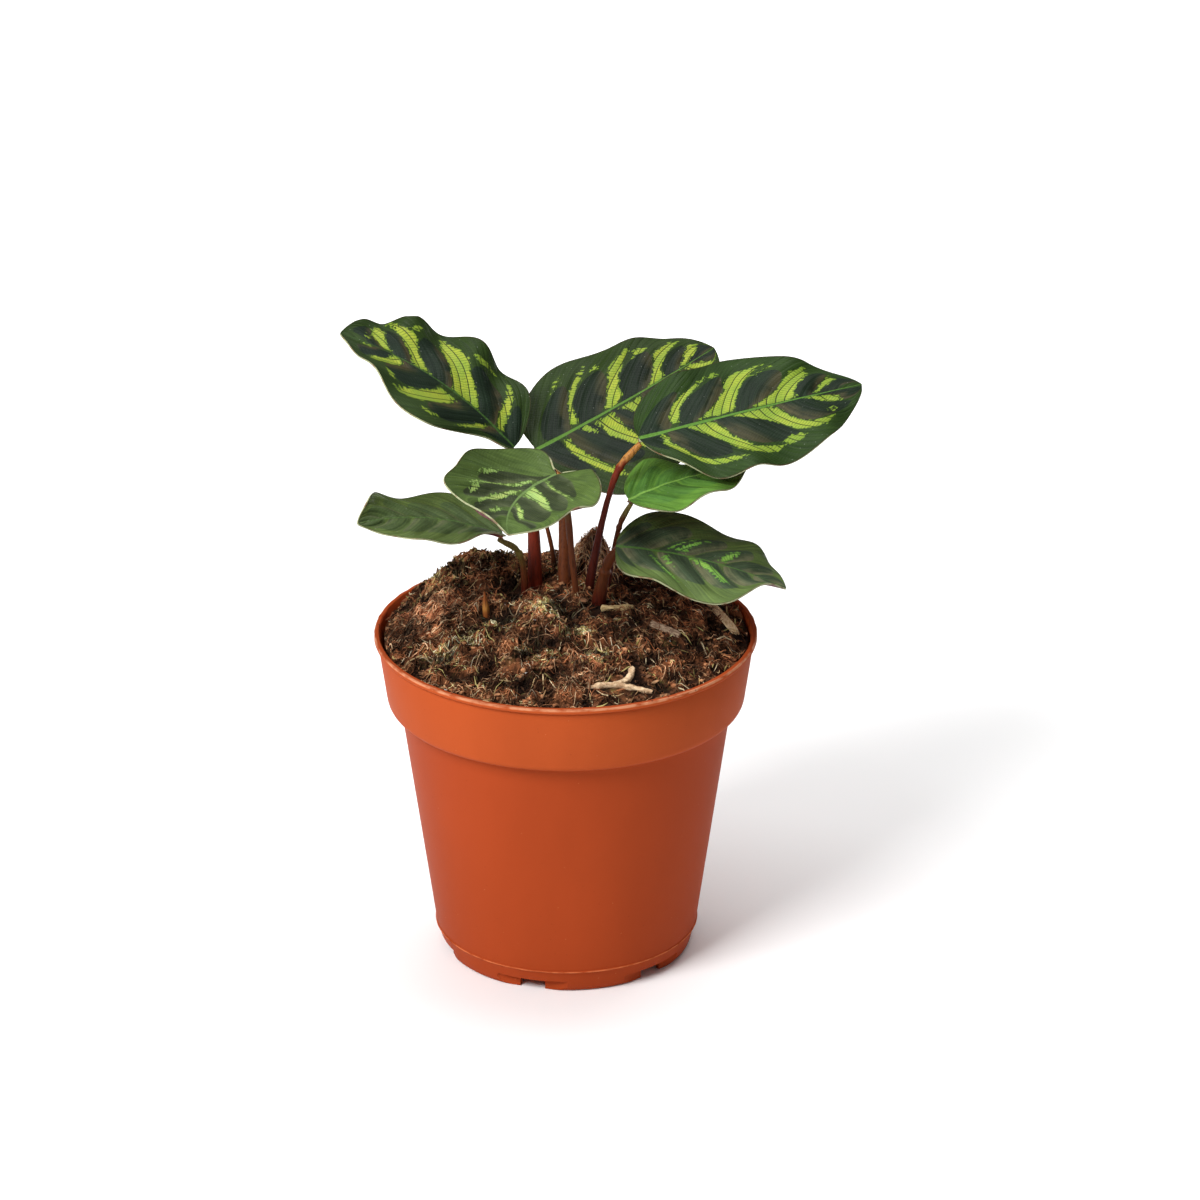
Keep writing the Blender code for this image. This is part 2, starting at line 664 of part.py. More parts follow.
def make_stalk(name, points, colour, parts, cutters):
    """A leaf stalk, and the cutter of its hole in the soil."""
    route = smooth_route(points, STALK_SEGMENTS)
    material = make_material(name, colour, STALK_ROUGHNESS)
    foot = (*points[0][:2], HOLE_FOOT, points[0][3])
    hole = tube_mesh(name + "_hole", [foot, *route], STALK_BEVEL, GAP)
    add_cutter(name + "_hole", hole, cutters)
    add_object(name, tube_mesh(name, route, STALK_BEVEL), parts, material)


def surface_route(points, radius, segments):
    """A route that lies on the soil's surface."""
    ends = [(x, y, soil_height(x, y) + radius - TWIG_SINK, radius) for x, y in points]
    return smooth_route(ends, segments)


def make_twigs(parts, cutters):
    material = make_material("twig", TWIG_TAN, WOOD_ROUGHNESS)
    for name, branches in (("short_twig", (SHORT_TWIG,)), ("forked_twig", FORKED_TWIG)):
        routes = [surface_route(points, TWIG_RADIUS, ROOT_SEGMENTS) for points in branches]
        meshes = []
        for extra in (GAP, 0.0):
            tubes = [tube_mesh(name, route, ROOT_BEVEL, extra) for route in routes]
            meshes.append(fused_mesh(name, tubes) if len(tubes) > 1 else tubes[0])
        add_cutter(name + "_bed", meshes[0], cutters)
        add_object(name, meshes[1], parts, material)


def make_chips(parts, cutters):
    material = make_material("wood_chip", CHIP_TAN, WOOD_ROUGHNESS)
    for name, chip in (("wood_chip", WOOD_CHIP), ("bark_stick", BARK_STICK)):
        x, y, heading, length, width, thickness = chip
        along = Vector((math.cos(math.radians(heading)), math.sin(math.radians(heading))))
        ends = [Vector((x, y)) + along * side * length / 2 for side in (-1, 1)]
        heights = [soil_height(*end) for end in ends]
        tilt = math.degrees(math.atan2(heights[1] - heights[0], length))
        middle = (x, y, sum(heights) / 2 + thickness / 2 - CHIP_SINK)
        size = Vector((length, width, thickness))
        room = size + Vector((2 * GAP, 2 * GAP, 2 * GAP))
        bed = box_mesh(name + "_bed", room, middle, heading, tilt)
        add_cutter(name + "_bed", bed, cutters)
        mesh = box_mesh(name, size, middle, heading, tilt, CHIP_ROUND)
        add_object(name, mesh, parts, material, SHARP_SPLIT)


def make_spear(parts, cutters):
    material = make_material("spear_shoot", SPEAR_ORANGE, SPEAR_ROUGHNESS)
    add_cutter("spear_shoot_bed", tube_mesh("spear_shoot_bed", SPEAR, STALK_BEVEL, GAP), cutters)
    add_object("spear_shoot", tube_mesh("spear_shoot", SPEAR, STALK_BEVEL), parts, material)


def root_routes():
    """Thick roots that spread from the rootstock, evenly round it, and turn down."""
    draw = random.Random(SEED)
    routes = []
    for index in range(ROOT_COUNT):
        uneven = draw.uniform(-ROOT_UNEVENNESS, ROOT_UNEVENNESS)
        angle = TURN * (index + uneven) / ROOT_COUNT
        out = Vector((math.cos(angle), math.sin(angle), 0.0))
        start = Vector(KNUCKLES[index % len(KNUCKLES)][:3]) - Vector((0.0, 0.0, ROOT_DROP))
        end = out * draw.uniform(*ROOT_SPREAD)
        end.z = draw.uniform(*ROOT_DEPTH)
        bend = start.lerp(end, 0.5) + out * ROOT_BULGE
        points = [(*place, radius) for place, radius in zip((start, bend, end), ROOT_RADII)]
        routes.append(smooth_route(points, ROOT_SEGMENTS))
    return routes


def rootstock_mesh(name, extra):
    pieces = []
    for x, y, z, radius in KNUCKLES:
        knuckle = bmesh.new()
        bmesh.ops.create_icosphere(
            knuckle, subdivisions=2, radius=(radius + extra) * MM,
            matrix=Matrix.Translation(Vector((x, y, z)) * MM),
        )
        mesh = bpy.data.meshes.new(name + "_knuckle")
        knuckle.to_mesh(mesh)
        knuckle.free()
        pieces.append(mesh)
    pieces += [tube_mesh(name + "_root", route, ROOT_BEVEL, extra) for route in root_routes()]
    return fused_mesh(name, pieces)


def make_rootstock(parts, cutters):
    material = make_material("rootstock", ROOT_TAN, WOOD_ROUGHNESS)
    add_cutter("rootstock_bed", rootstock_mesh("rootstock_bed", GAP), cutters)
    add_object("rootstock", rootstock_mesh("rootstock", 0.0), parts, material)


def main():
    clear_scene()
    parts = new_collection("potted_peacock_plant")
    pot_cutters = new_collection("pot_cutters")
    soil_cutters = new_collection("soil_cutters")
    make_pot(parts, pot_cutters)
    for leaf in LEAVES:
        make_leaf(leaf, parts)
    for leaf in LEAVES:
        make_petiole(leaf, parts, soil_cutters)
    make_stalk("dry_stalk", DRY_STALK, STALK_BROWN, parts, soil_cutters)
    make_spear(parts, soil_cutters)
    make_chips(parts, soil_cutters)
    make_twigs(parts, soil_cutters)
    make_rootstock(parts, soil_cutters)
    make_soil(parts, soil_cutters)


main()
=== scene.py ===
"""The looks of a young peacock plant in a nursery pot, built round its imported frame.

Tables of sizes are in millimetres and degrees, unless they say metres, as Blender's own
values do.
"""

import math
from collections import namedtuple

import bmesh
import bpy
import numpy as np
from bpy.props import FloatProperty, FloatVectorProperty, IntProperty, PointerProperty
from mathutils import Matrix, Vector, noise
from mathutils.bvhtree import BVHTree


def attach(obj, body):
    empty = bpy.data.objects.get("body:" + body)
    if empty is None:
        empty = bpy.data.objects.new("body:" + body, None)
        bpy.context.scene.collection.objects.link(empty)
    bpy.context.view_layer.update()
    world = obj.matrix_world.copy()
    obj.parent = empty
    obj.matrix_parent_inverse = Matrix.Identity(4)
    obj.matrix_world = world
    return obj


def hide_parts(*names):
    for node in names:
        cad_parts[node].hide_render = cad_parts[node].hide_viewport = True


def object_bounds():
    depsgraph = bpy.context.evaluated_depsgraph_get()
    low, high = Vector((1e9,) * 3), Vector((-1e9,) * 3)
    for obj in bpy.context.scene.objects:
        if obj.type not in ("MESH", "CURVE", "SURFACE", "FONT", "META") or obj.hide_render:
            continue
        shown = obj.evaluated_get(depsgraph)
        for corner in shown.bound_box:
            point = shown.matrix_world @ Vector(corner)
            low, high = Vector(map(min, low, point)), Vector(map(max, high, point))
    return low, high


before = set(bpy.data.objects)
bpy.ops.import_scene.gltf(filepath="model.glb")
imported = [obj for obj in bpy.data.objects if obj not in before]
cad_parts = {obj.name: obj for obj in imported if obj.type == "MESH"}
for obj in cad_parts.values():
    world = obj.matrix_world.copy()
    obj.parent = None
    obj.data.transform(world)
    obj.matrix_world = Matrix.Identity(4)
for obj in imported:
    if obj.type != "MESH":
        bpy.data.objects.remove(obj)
CAD_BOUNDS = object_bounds()

bl_info = {
    "name": "Potted peacock plant",
    "version": (1, 0, 0),
    "blender": (4, 5, 0),
    "location": "View3D > Sidebar > Plant",
    "description": "Builds the pot, the soil and the leaves of a young peacock plant",
    "category": "Object",
}

MM = 0.001
TURN = 2 * math.pi
BODY = "root"
# Vertices nearer than this, in metres, are merged
MERGE = 1e-6
# Blender's vector noise follows the clock unless it is seeded
NOISE_SEED = 11
# Angles up to which the faces of a piece are shaded as one surface
SMOOTH = {
    "pot": 32.0, "soil": 60.0, "lump": 22.0, "chip": 35.0, "twig": 50.0, "stalk": 60.0,
    "blade": 70.0,
}

# Camera, which looks towards +Y and down by an angle; the clip end is in metres
AIM = (9.6, 0.0, 105.0)
DISTANCE = 1600.0
LOOK_DOWN = 23.7
LENS = 171.0
SENSOR = 36.0
CLIP_END = 20.0

# Pot: the frame's sizes, but a finer lip, ledge and notches
POT_HEIGHT = 96.0
WALL = 1.2
FOOT_RADIUS = 35.8
FOOT_WIDTH = 2.6
BODY_FOOT_RADIUS = 37.0
BODY_TOP = (46.9, 75.0)
BEAD_HEIGHT = 6.8
COLLAR_FOOT = (50.5, 76.6)
COLLAR_TOP_RADIUS = 53.0
COLLAR_SLOPE = (COLLAR_TOP_RADIUS - COLLAR_FOOT[0]) / (POT_HEIGHT - COLLAR_FOOT[1])
# Underside of the overhanging collar, from its rounded corner in to the body
LEDGE = (
    (50.62, 77.5), (50.50, 76.8), (50.36, 76.3), (50.10, 75.8), (49.70, 75.42), (49.20, 75.2),
    (48.60, 75.1), (47.35, 75.05), (47.02, 74.9), (46.86, 74.6),
)
SHELF = 76.2
LIP_RADIUS = 54.0
LIP_HEIGHT = 1.6
STRAY_FROM = 93.5
STRAY_OVER = 2.5
FLOOR_UNDERSIDE = 2.2
FLOOR_TOP = 3.6
PAD_RADIUS = 13.0
NOTCH_COUNT = 6
NOTCH_FIRST_ANGLE = -106.0
NOTCH_ROUNDING = 0.8
# Opening and panels of a notch, as (width, height, inner radius, outer radius)
NOTCH_CUTS = ((7.3, 2.6, 31.0, 40.0), (21.0, 3.3, 34.2, 40.0))
DRAIN_CIRCLE = 23.0
DRAIN_RADIUS = 3.5

# Soil mound
SOIL_EDGE = 96.0
SOIL_BACK_RISE = 2.0
SOIL_SIDE_DIP = 2.0
SOIL_SWELL = 8.0
SOIL_SWELL_POWER = 1.2
SOIL_GAP = 0.3
# What roughens the mound, as (size, height), and how far all of it is lowered
CLODS = (7.0, 2.2)
LUMPS = (6.2, 3.6)
SMALL_LUMPS = (2.1, 1.5)
CRUMBS = (0.9, 1.0)
LOWERED = 0.7
# How far from the wall the heaps and the crumbs reach their full height
HEAP_FADE = 9.0
CRUMB_FADE = 3.0
CRUMBS_AT_WALL = 0.35
# How near the wood the crumbs begin, how far on they are full, and how near litter lies
SMOOTH_BY_WOOD = 1.2
WOOD_FADE = 3.0
WOOD_MARGIN = 2.4
# How far out litter lies, and how far its strands keep from the soil's edge
LITTER_LIMIT = 50.5
STRAND_WALL_GAP = 0.6
# How thick a strand is along its length, and how far up its middle or a lump's middle
# lies, as shares of the radius
STRAND_TAPER = ((0.0, 0.15, 0.7, 1.0), (0.5, 1.0, 0.9, 0.25))
STRAND_RISE = 0.3
LUMP_RISE = 0.25
# Heaps on the mound, as (x, y, height, radius)
HEAPS = (
    (-33.0, 24.0, 5.0, 9.5), (-22.0, 27.0, 5.5, 8.0), (-14.0, 20.0, 3.0, 6.5),
    (8.5, 26.0, 8.5, 6.0), (3.0, 22.0, 3.0, 7.0), (-6.0, -6.0, 2.0, 8.0),
    (-36.0, 4.0, 2.0, 9.0), (16.0, -14.0, 1.4, 8.0), (-8.0, -20.0, 1.5, 9.0),
    (4.0, 6.0, 2.5, 9.0), (28.0, 8.0, 1.5, 8.0), (-24.0, -16.0, 1.2, 7.0),
)

# Half of a blade, and a blade, with the frame's values
Side = namedtuple("Side", "reach sweep lobe wave waves start")
Leaf = namedtuple(
    "Leaf",
    "name base heading pitch droop turn roll twist fold curl length left right joint seat",
)
LEAVES = (
    Leaf(
        "upper_left", (-14.5, 24.0, 141.5), 164, 47, 32, 6, -13, 1, 15, -4, 59.5,
        Side((11.5, 26.5, 23.0, 16.0, 12.0), 6.5, -0.5, 1.1, 2.8, 0.38),
        Side((25.5, 19.0, 19.0, 16.5, 21.0), 3.5, -0.5, 3.0, 3.2, 0.09), 1.1, 1.2,
    ),
    Leaf(
        "back", (-8.5, 28.5, 139.0), 28, 17, -1, 7, 27, -5, 4, -6, 62.5,
        Side((24.0, 23.5, 19.0, 20.0, 20.0), 7.5, 2.5, 1.3, 2.3, 0.92),
        Side((30.0, 30.0, 26.5, 24.5, 27.5), -0.5, -0.5, 1.3, 2.4, 0.44), 1.2, 1.2,
    ),
    Leaf(
        "right", (20.5, 10.0, 150.0), 25, 5, 6, 7, 20, 6, 9, -11, 72.5,
        Side((22.5, 20.0, 24.0, 18.5, 20.5), 3.0, 0.0, 2.9, 2.1, 0.74),
        Side((18.5, 22.5, 21.0, 23.5, 21.0), -3.5, -0.5, 2.2, 3.0, 0.09), 1.0, 1.6,
    ),
    Leaf(
        "front", (-2.5, 4.5, 141.5), 229, 1, 1, 50, -4, -14, 14, 9, 47.5,
        Side((22.5, 25.0, 24.0, 22.5, 25.0), 6.5, 5.5, 1.8, 1.8, 0.97),
        Side((18.5, 18.0, 19.0, 25.0, 16.5), 5.0, 7.0, 2.5, 1.5, 0.67), 0.9, 1.0,
    ),
    Leaf(
        "low_left", (-17.5, 4.0, 123.5), 190, 25, 21, 34, 9, -42, 11, -4, 47.0,
        Side((12.0, 15.0, 14.0, 14.0, 8.5), 4.0, 1.5, 1.3, 1.8, 0.07),
        Side((13.0, 13.5, 11.5, 12.5, 8.5), 3.0, 1.5, 2.8, 1.3, 0.07), 0.8, 1.2,
    ),
    Leaf(
        "small_right", (17.5, 4.0, 134.0), 18, 21, 23, -5, 8, -9, 8, -9, 35.0,
        Side((15.5, 14.5, 12.0, 14.5, 14.0), 2.5, 0.5, 1.9, 1.6, 0.91),
        Side((13.5, 15.0, 14.5, 14.0, 14.5), 2.0, -0.5, 1.4, 1.6, 0.46), 0.7, 1.1,
    ),
    Leaf(
        "low_right", (14.0, -2.0, 122.5), -2, -4, 23, 6, 20, -20, 10, -5, 50.0,
        Side((22.5, 16.5, 17.0, 18.0, 20.5), 9.0, -1.0, 1.1, 2.6, 0.54),
        Side((20.5, 18.5, 19.5, 23.5, 14.0), -1.5, 1.0, 3.1, 1.3, 0.05), 0.9, 1.0,
    ),
)
BASE_FULLNESS = 0.5
TIP_FULLNESS = 0.72
REACH_STATIONS = (0.0, 0.1, 0.3, 0.5, 0.7, 0.9, 1.0)
LOBE_STATION = 0.07
# Shares of a way over which waves and pleats fade in and out
WAVE_FADES = (0.25, 0.2)
PLEAT_BAND_FADES = (0.16, 0.35)
PLEAT_TIP_FADES = (0.08, 0.2)
MIDRIB_SAMPLES = 24
# Half width of the thick midrib, and depth and half width of the groove along it
RIB_SPREAD = 0.9
GROOVE_DEPTH = 0.22
GROOVE_SPREAD = 0.55
# Keeps the patterns of the two halves apart
HALF_SHIFT = 5.0
# How strongly the rows of faces crowd towards both ends of a blade, from 0 to 1
ROW_CROWDING = 0.8

# A side vein sets out from the midrib at a share of the length and runs on towards the tip
VEIN_RUN = 0.28
VEIN_POWER = 1.4

# Bright stripes, by half: each row says how far out it is, from midrib to margin, and where
# along the midrib the veins set out that bound the stripe there
BROAD, FLECK = "broad", "fleck"
MARKS = {
    "upper_left": {
        "left": (
            (BROAD, (0.13, 0.145, 0.150), (0.26, 0.112, 0.147), (0.39, 0.080, 0.122),
             (0.54, 0.045, 0.102), (0.74, 0.020, 0.050)),
            (BROAD, (0.10, 0.345, 0.440), (0.26, 0.300, 0.412), (0.50, 0.296, 0.400),
             (0.62, 0.285, 0.392), (0.74, 0.300, 0.358), (0.80, 0.330, 0.345)),
            (BROAD, (0.03, 0.690, 0.722), (0.11, 0.645, 0.714), (0.26, 0.614, 0.686),
             (0.50, 0.589, 0.680), (0.62, 0.560, 0.640), (0.70, 0.580, 0.610)),
            (FLECK, (0.68, 0.160, 0.190), (0.73, 0.150, 0.225), (0.76, 0.190, 0.215)),
            (FLECK, (0.66, 0.420, 0.450), (0.71, 0.412, 0.465), (0.75, 0.430, 0.445)),
            (FLECK, (0.05, 0.840, 0.860), (0.12, 0.825, 0.860), (0.20, 0.810, 0.825)),
        ),
        "right": (
            (BROAD, (0.04, 0.100, 0.125), (0.10, 0.076, 0.127), (0.26, 0.060, 0.112),
             (0.50, 0.010, 0.054), (0.74, -0.032, -0.003), (0.90, -0.040, -0.036)),
            (BROAD, (0.03, 0.255, 0.395), (0.26, 0.242, 0.394), (0.50, 0.257, 0.380),
             (0.65, 0.228, 0.360), (0.78, 0.271, 0.322), (0.92, 0.290, 0.298)),
            (BROAD, (0.03, 0.530, 0.618), (0.26, 0.546, 0.614), (0.50, 0.524, 0.600),
             (0.63, 0.490, 0.584), (0.76, 0.513, 0.568), (0.93, 0.520, 0.535)),
            (BROAD, (0.10, 0.735, 0.770), (0.30, 0.724, 0.790), (0.50, 0.683, 0.748),
             (0.65, 0.654, 0.697), (0.75, 0.645, 0.655)),
            (FLECK, (0.72, 0.150, 0.190), (0.78, 0.090, 0.160), (0.84, 0.030, 0.080)),
            (FLECK, (0.76, 0.440, 0.480), (0.82, 0.400, 0.450), (0.86, 0.390, 0.400)),
            (FLECK, (0.15, 0.830, 0.850), (0.25, 0.810, 0.840), (0.36, 0.780, 0.795)),
        ),
    },
    "back": {
        "left": (
            (BROAD, (0.08, 0.205, 0.228), (0.14, 0.190, 0.226), (0.25, 0.180, 0.209),
             (0.39, 0.160, 0.186), (0.52, 0.150, 0.186), (0.70, 0.141, 0.180),
             (0.82, 0.155, 0.162)),
            (BROAD, (0.03, 0.370, 0.450), (0.13, 0.380, 0.468), (0.25, 0.372, 0.437),
             (0.39, 0.358, 0.416), (0.52, 0.333, 0.394), (0.63, 0.307, 0.384),
             (0.76, 0.322, 0.380), (0.86, 0.345, 0.352)),
            (BROAD, (0.03, 0.625, 0.700), (0.13, 0.633, 0.700), (0.25, 0.625, 0.676),
             (0.39, 0.608, 0.669), (0.61, 0.568, 0.650), (0.74, 0.575, 0.647),
             (0.84, 0.600, 0.625)),
            (BROAD, (0.08, 0.800, 0.842), (0.25, 0.799, 0.864), (0.39, 0.777, 0.842),
             (0.52, 0.760, 0.813), (0.63, 0.734, 0.770), (0.72, 0.745, 0.752)),
            (FLECK, (0.72, 0.215, 0.240), (0.77, 0.200, 0.242), (0.80, 0.205, 0.220)),
            (FLECK, (0.68, 0.440, 0.490), (0.74, 0.410, 0.500), (0.78, 0.420, 0.450)),
            (FLECK, (0.70, 0.030, 0.045), (0.78, 0.020, 0.055), (0.82, 0.030, 0.040)),
        ),
        "right": (
            (BROAD, (0.06, 0.125, 0.145), (0.12, 0.112, 0.145), (0.25, 0.085, 0.130),
             (0.39, 0.062, 0.112), (0.57, 0.044, 0.105), (0.70, 0.050, 0.100),
             (0.80, 0.070, 0.085)),
            (BROAD, (0.05, 0.300, 0.395), (0.12, 0.305, 0.385), (0.24, 0.278, 0.372),
             (0.39, 0.286, 0.351), (0.57, 0.280, 0.335), (0.72, 0.300, 0.345),
             (0.80, 0.320, 0.330)),
            (BROAD, (0.05, 0.437, 0.545), (0.12, 0.460, 0.550), (0.30, 0.480, 0.550),
             (0.55, 0.490, 0.560), (0.70, 0.510, 0.560), (0.78, 0.530, 0.540)),
            (BROAD, (0.04, 0.810, 0.850), (0.12, 0.813, 0.888), (0.28, 0.820, 0.885),
             (0.42, 0.835, 0.870), (0.50, 0.845, 0.852)),
            (FLECK, (0.04, 0.235, 0.270), (0.10, 0.240, 0.272), (0.16, 0.262, 0.272)),
            (FLECK, (0.06, 0.640, 0.700), (0.12, 0.660, 0.740), (0.20, 0.720, 0.750)),
        ),
    },
    "right": {
        "left": (
            (BROAD, (0.12, 0.145, 0.166), (0.26, 0.112, 0.160), (0.39, 0.098, 0.141),
             (0.52, 0.093, 0.141), (0.63, 0.108, 0.160), (0.73, 0.134, 0.177),
             (0.79, 0.165, 0.175)),
            (BROAD, (0.05, 0.262, 0.415), (0.17, 0.293, 0.418), (0.30, 0.322, 0.419),
             (0.43, 0.336, 0.419), (0.56, 0.318, 0.416), (0.66, 0.330, 0.412),
             (0.76, 0.370, 0.414), (0.84, 0.400, 0.408)),
            (BROAD, (0.03, 0.500, 0.690), (0.10, 0.545, 0.688), (0.17, 0.560, 0.676),
             (0.30, 0.582, 0.664), (0.43, 0.575, 0.662), (0.57, 0.560, 0.654),
             (0.67, 0.553, 0.640), (0.76, 0.575, 0.590)),
            (BROAD, (0.10, 0.775, 0.795), (0.26, 0.770, 0.813), (0.43, 0.763, 0.806),
             (0.54, 0.748, 0.790), (0.62, 0.745, 0.750)),
            (FLECK, (0.70, 0.235, 0.252), (0.74, 0.200, 0.250), (0.77, 0.200, 0.215)),
            (FLECK, (0.60, 0.430, 0.436), (0.72, 0.435, 0.452), (0.84, 0.440, 0.446)),
        ),
        "right": (
            (BROAD, (0.06, 0.090, 0.105), (0.20, 0.062, 0.090), (0.35, 0.018, 0.054),
             (0.50, -0.018, 0.047), (0.63, -0.032, 0.030), (0.74, 0.000, 0.160),
             (0.80, 0.130, 0.190)),
            (BROAD, (0.04, 0.206, 0.310), (0.15, 0.224, 0.325), (0.26, 0.232, 0.317),
             (0.39, 0.238, 0.302), (0.52, 0.232, 0.300), (0.63, 0.220, 0.290),
             (0.73, 0.228, 0.390), (0.79, 0.290, 0.340)),
            (BROAD, (0.03, 0.395, 0.580), (0.08, 0.420, 0.592), (0.15, 0.452, 0.600),
             (0.26, 0.503, 0.598), (0.39, 0.521, 0.590), (0.52, 0.524, 0.605),
             (0.64, 0.556, 0.668), (0.70, 0.600, 0.640)),
            (BROAD, (0.03, 0.735, 0.790), (0.09, 0.763, 0.835), (0.20, 0.785, 0.857),
             (0.29, 0.795, 0.830), (0.34, 0.805, 0.815)),
            (FLECK, (0.62, 0.445, 0.500), (0.68, 0.400, 0.505), (0.74, 0.405, 0.450)),
            (FLECK, (0.46, 0.715, 0.740), (0.52, 0.695, 0.735), (0.57, 0.690, 0.705)),
        ),
    },
    "front": {
        "left": (
            (BROAD, (0.08, 0.118, 0.128), (0.22, 0.140, 0.164), (0.39, 0.172, 0.199),
             (0.57, 0.186, 0.220), (0.66, 0.225, 0.235)),
            (BROAD, (0.03, 0.250, 0.385), (0.10, 0.273, 0.382), (0.20, 0.290, 0.372),
             (0.30, 0.318, 0.410), (0.39, 0.350, 0.450), (0.50, 0.425, 0.500),
             (0.58, 0.470, 0.490)),
            (BROAD, (0.05, 0.525, 0.560), (0.11, 0.553, 0.612), (0.20, 0.610, 0.680),
             (0.26, 0.665, 0.680)),
        ),
        "right": (
            (BROAD, (0.08, 0.180, 0.210), (0.13, 0.195, 0.242), (0.22, 0.242, 0.282),
             (0.39, 0.293, 0.316), (0.54, 0.330, 0.365), (0.66, 0.340, 0.380),
             (0.72, 0.365, 0.372)),
            (BROAD, (0.08, 0.355, 0.400), (0.14, 0.370, 0.430), (0.22, 0.409, 0.480),
             (0.30, 0.445, 0.530), (0.38, 0.466, 0.590), (0.44, 0.560, 0.600)),
            (BROAD, (0.10, 0.620, 0.640), (0.20, 0.630, 0.670), (0.28, 0.665, 0.675)),
            (FLECK, (0.54, 0.180, 0.205), (0.62, 0.190, 0.235), (0.70, 0.225, 0.240)),
            (FLECK, (0.55, 0.400, 0.460), (0.59, 0.390, 0.480), (0.63, 0.400, 0.430)),
        ),
    },
    "low_right": {
        "left": (
            (FLECK, (0.12, 0.262, 0.275), (0.30, 0.246, 0.272), (0.46, 0.236, 0.266),
             (0.60, 0.232, 0.240)),
            (FLECK, (0.10, 0.315, 0.360), (0.25, 0.305, 0.348), (0.40, 0.302, 0.330),
             (0.52, 0.305, 0.312)),
            (FLECK, (0.10, 0.558, 0.576), (0.25, 0.530, 0.572), (0.40, 0.510, 0.550),
             (0.56, 0.504, 0.512)),
        ),
        "right": (
            (FLECK, (0.15, 0.185, 0.205), (0.35, 0.172, 0.200), (0.60, 0.165, 0.205),
             (0.72, 0.190, 0.196)),
            (FLECK, (0.10, 0.262, 0.282), (0.28, 0.238, 0.276), (0.45, 0.232, 0.244)),
            (FLECK, (0.04, 0.420, 0.470), (0.12, 0.450, 0.525), (0.28, 0.485, 0.562),
             (0.42, 0.500, 0.556), (0.54, 0.515, 0.528)),
        ),
    },
}
# Where the blades without broad stripes have the valleys between their pleats
PLAIN_VALLEYS = (0.02, 0.22, 0.42, 0.60, 0.78, 0.94)
# Value of a field where nothing is near, and how much of a way along the midrib counts
# across a stripe or an oval, since these lean
OUTSIDE = -9.0
LEAN = 0.8

# Colours of a blade: stripes and how clear they are, margin, dark ovals, the painted sheen on
# the side of an oval that faces the light, midrib, how wide the midrib is, and on which side of
# an oval each half has its painted sheen
Tone = namedtuple("Tone", "stripe clear margin dark flank rib rib_width lit_left lit_right")
TONES = {
    "upper_left": Tone(
        (0.36, 0.42, 0.042), 1.0, (0.021, 0.040, 0.008), (0.008, 0.016, 0.009),
        (0.056, 0.045, 0.021), (0.044, 0.100, 0.020), 0.35, 1.0, -1.0,
    ),
    "back": Tone(
        (0.37, 0.43, 0.042), 1.0, (0.020, 0.037, 0.007), (0.008, 0.014, 0.008),
        (0.042, 0.039, 0.017), (0.095, 0.205, 0.030), 0.52, 1.0, -1.0,
    ),
    "right": Tone(
        (0.38, 0.47, 0.048), 1.0, (0.021, 0.045, 0.008), (0.009, 0.018, 0.009),
        (0.060, 0.054, 0.025), (0.110, 0.250, 0.036), 0.54, 1.0, -1.0,
    ),
    "front": Tone(
        (0.55, 0.67, 0.20), 0.95, (0.078, 0.124, 0.030), (0.034, 0.044, 0.020),
        (0.096, 0.116, 0.056), (0.165, 0.260, 0.080), 0.5, -1.0, 1.0,
    ),
    "low_left": Tone(
        (0.10, 0.22, 0.05), 0.0, (0.076, 0.112, 0.028), (0.052, 0.080, 0.026),
        (0.100, 0.118, 0.054), (0.076, 0.146, 0.036), 0.4, 1.0, -1.0,
    ),
    "small_right": Tone(
        (0.20, 0.42, 0.06), 0.0, (0.092, 0.200, 0.028), (0.066, 0.160, 0.028),
        (0.090, 0.210, 0.032), (0.230, 0.440, 0.080), 0.45, 1.0, -1.0,
    ),
    "low_right": Tone(
        (0.36, 0.66, 0.11), 0.90, (0.094, 0.142, 0.037), (0.045, 0.070, 0.036),
        (0.165, 0.166, 0.088), (0.110, 0.240, 0.050), 0.42, 1.0, -1.0,
    ),
}

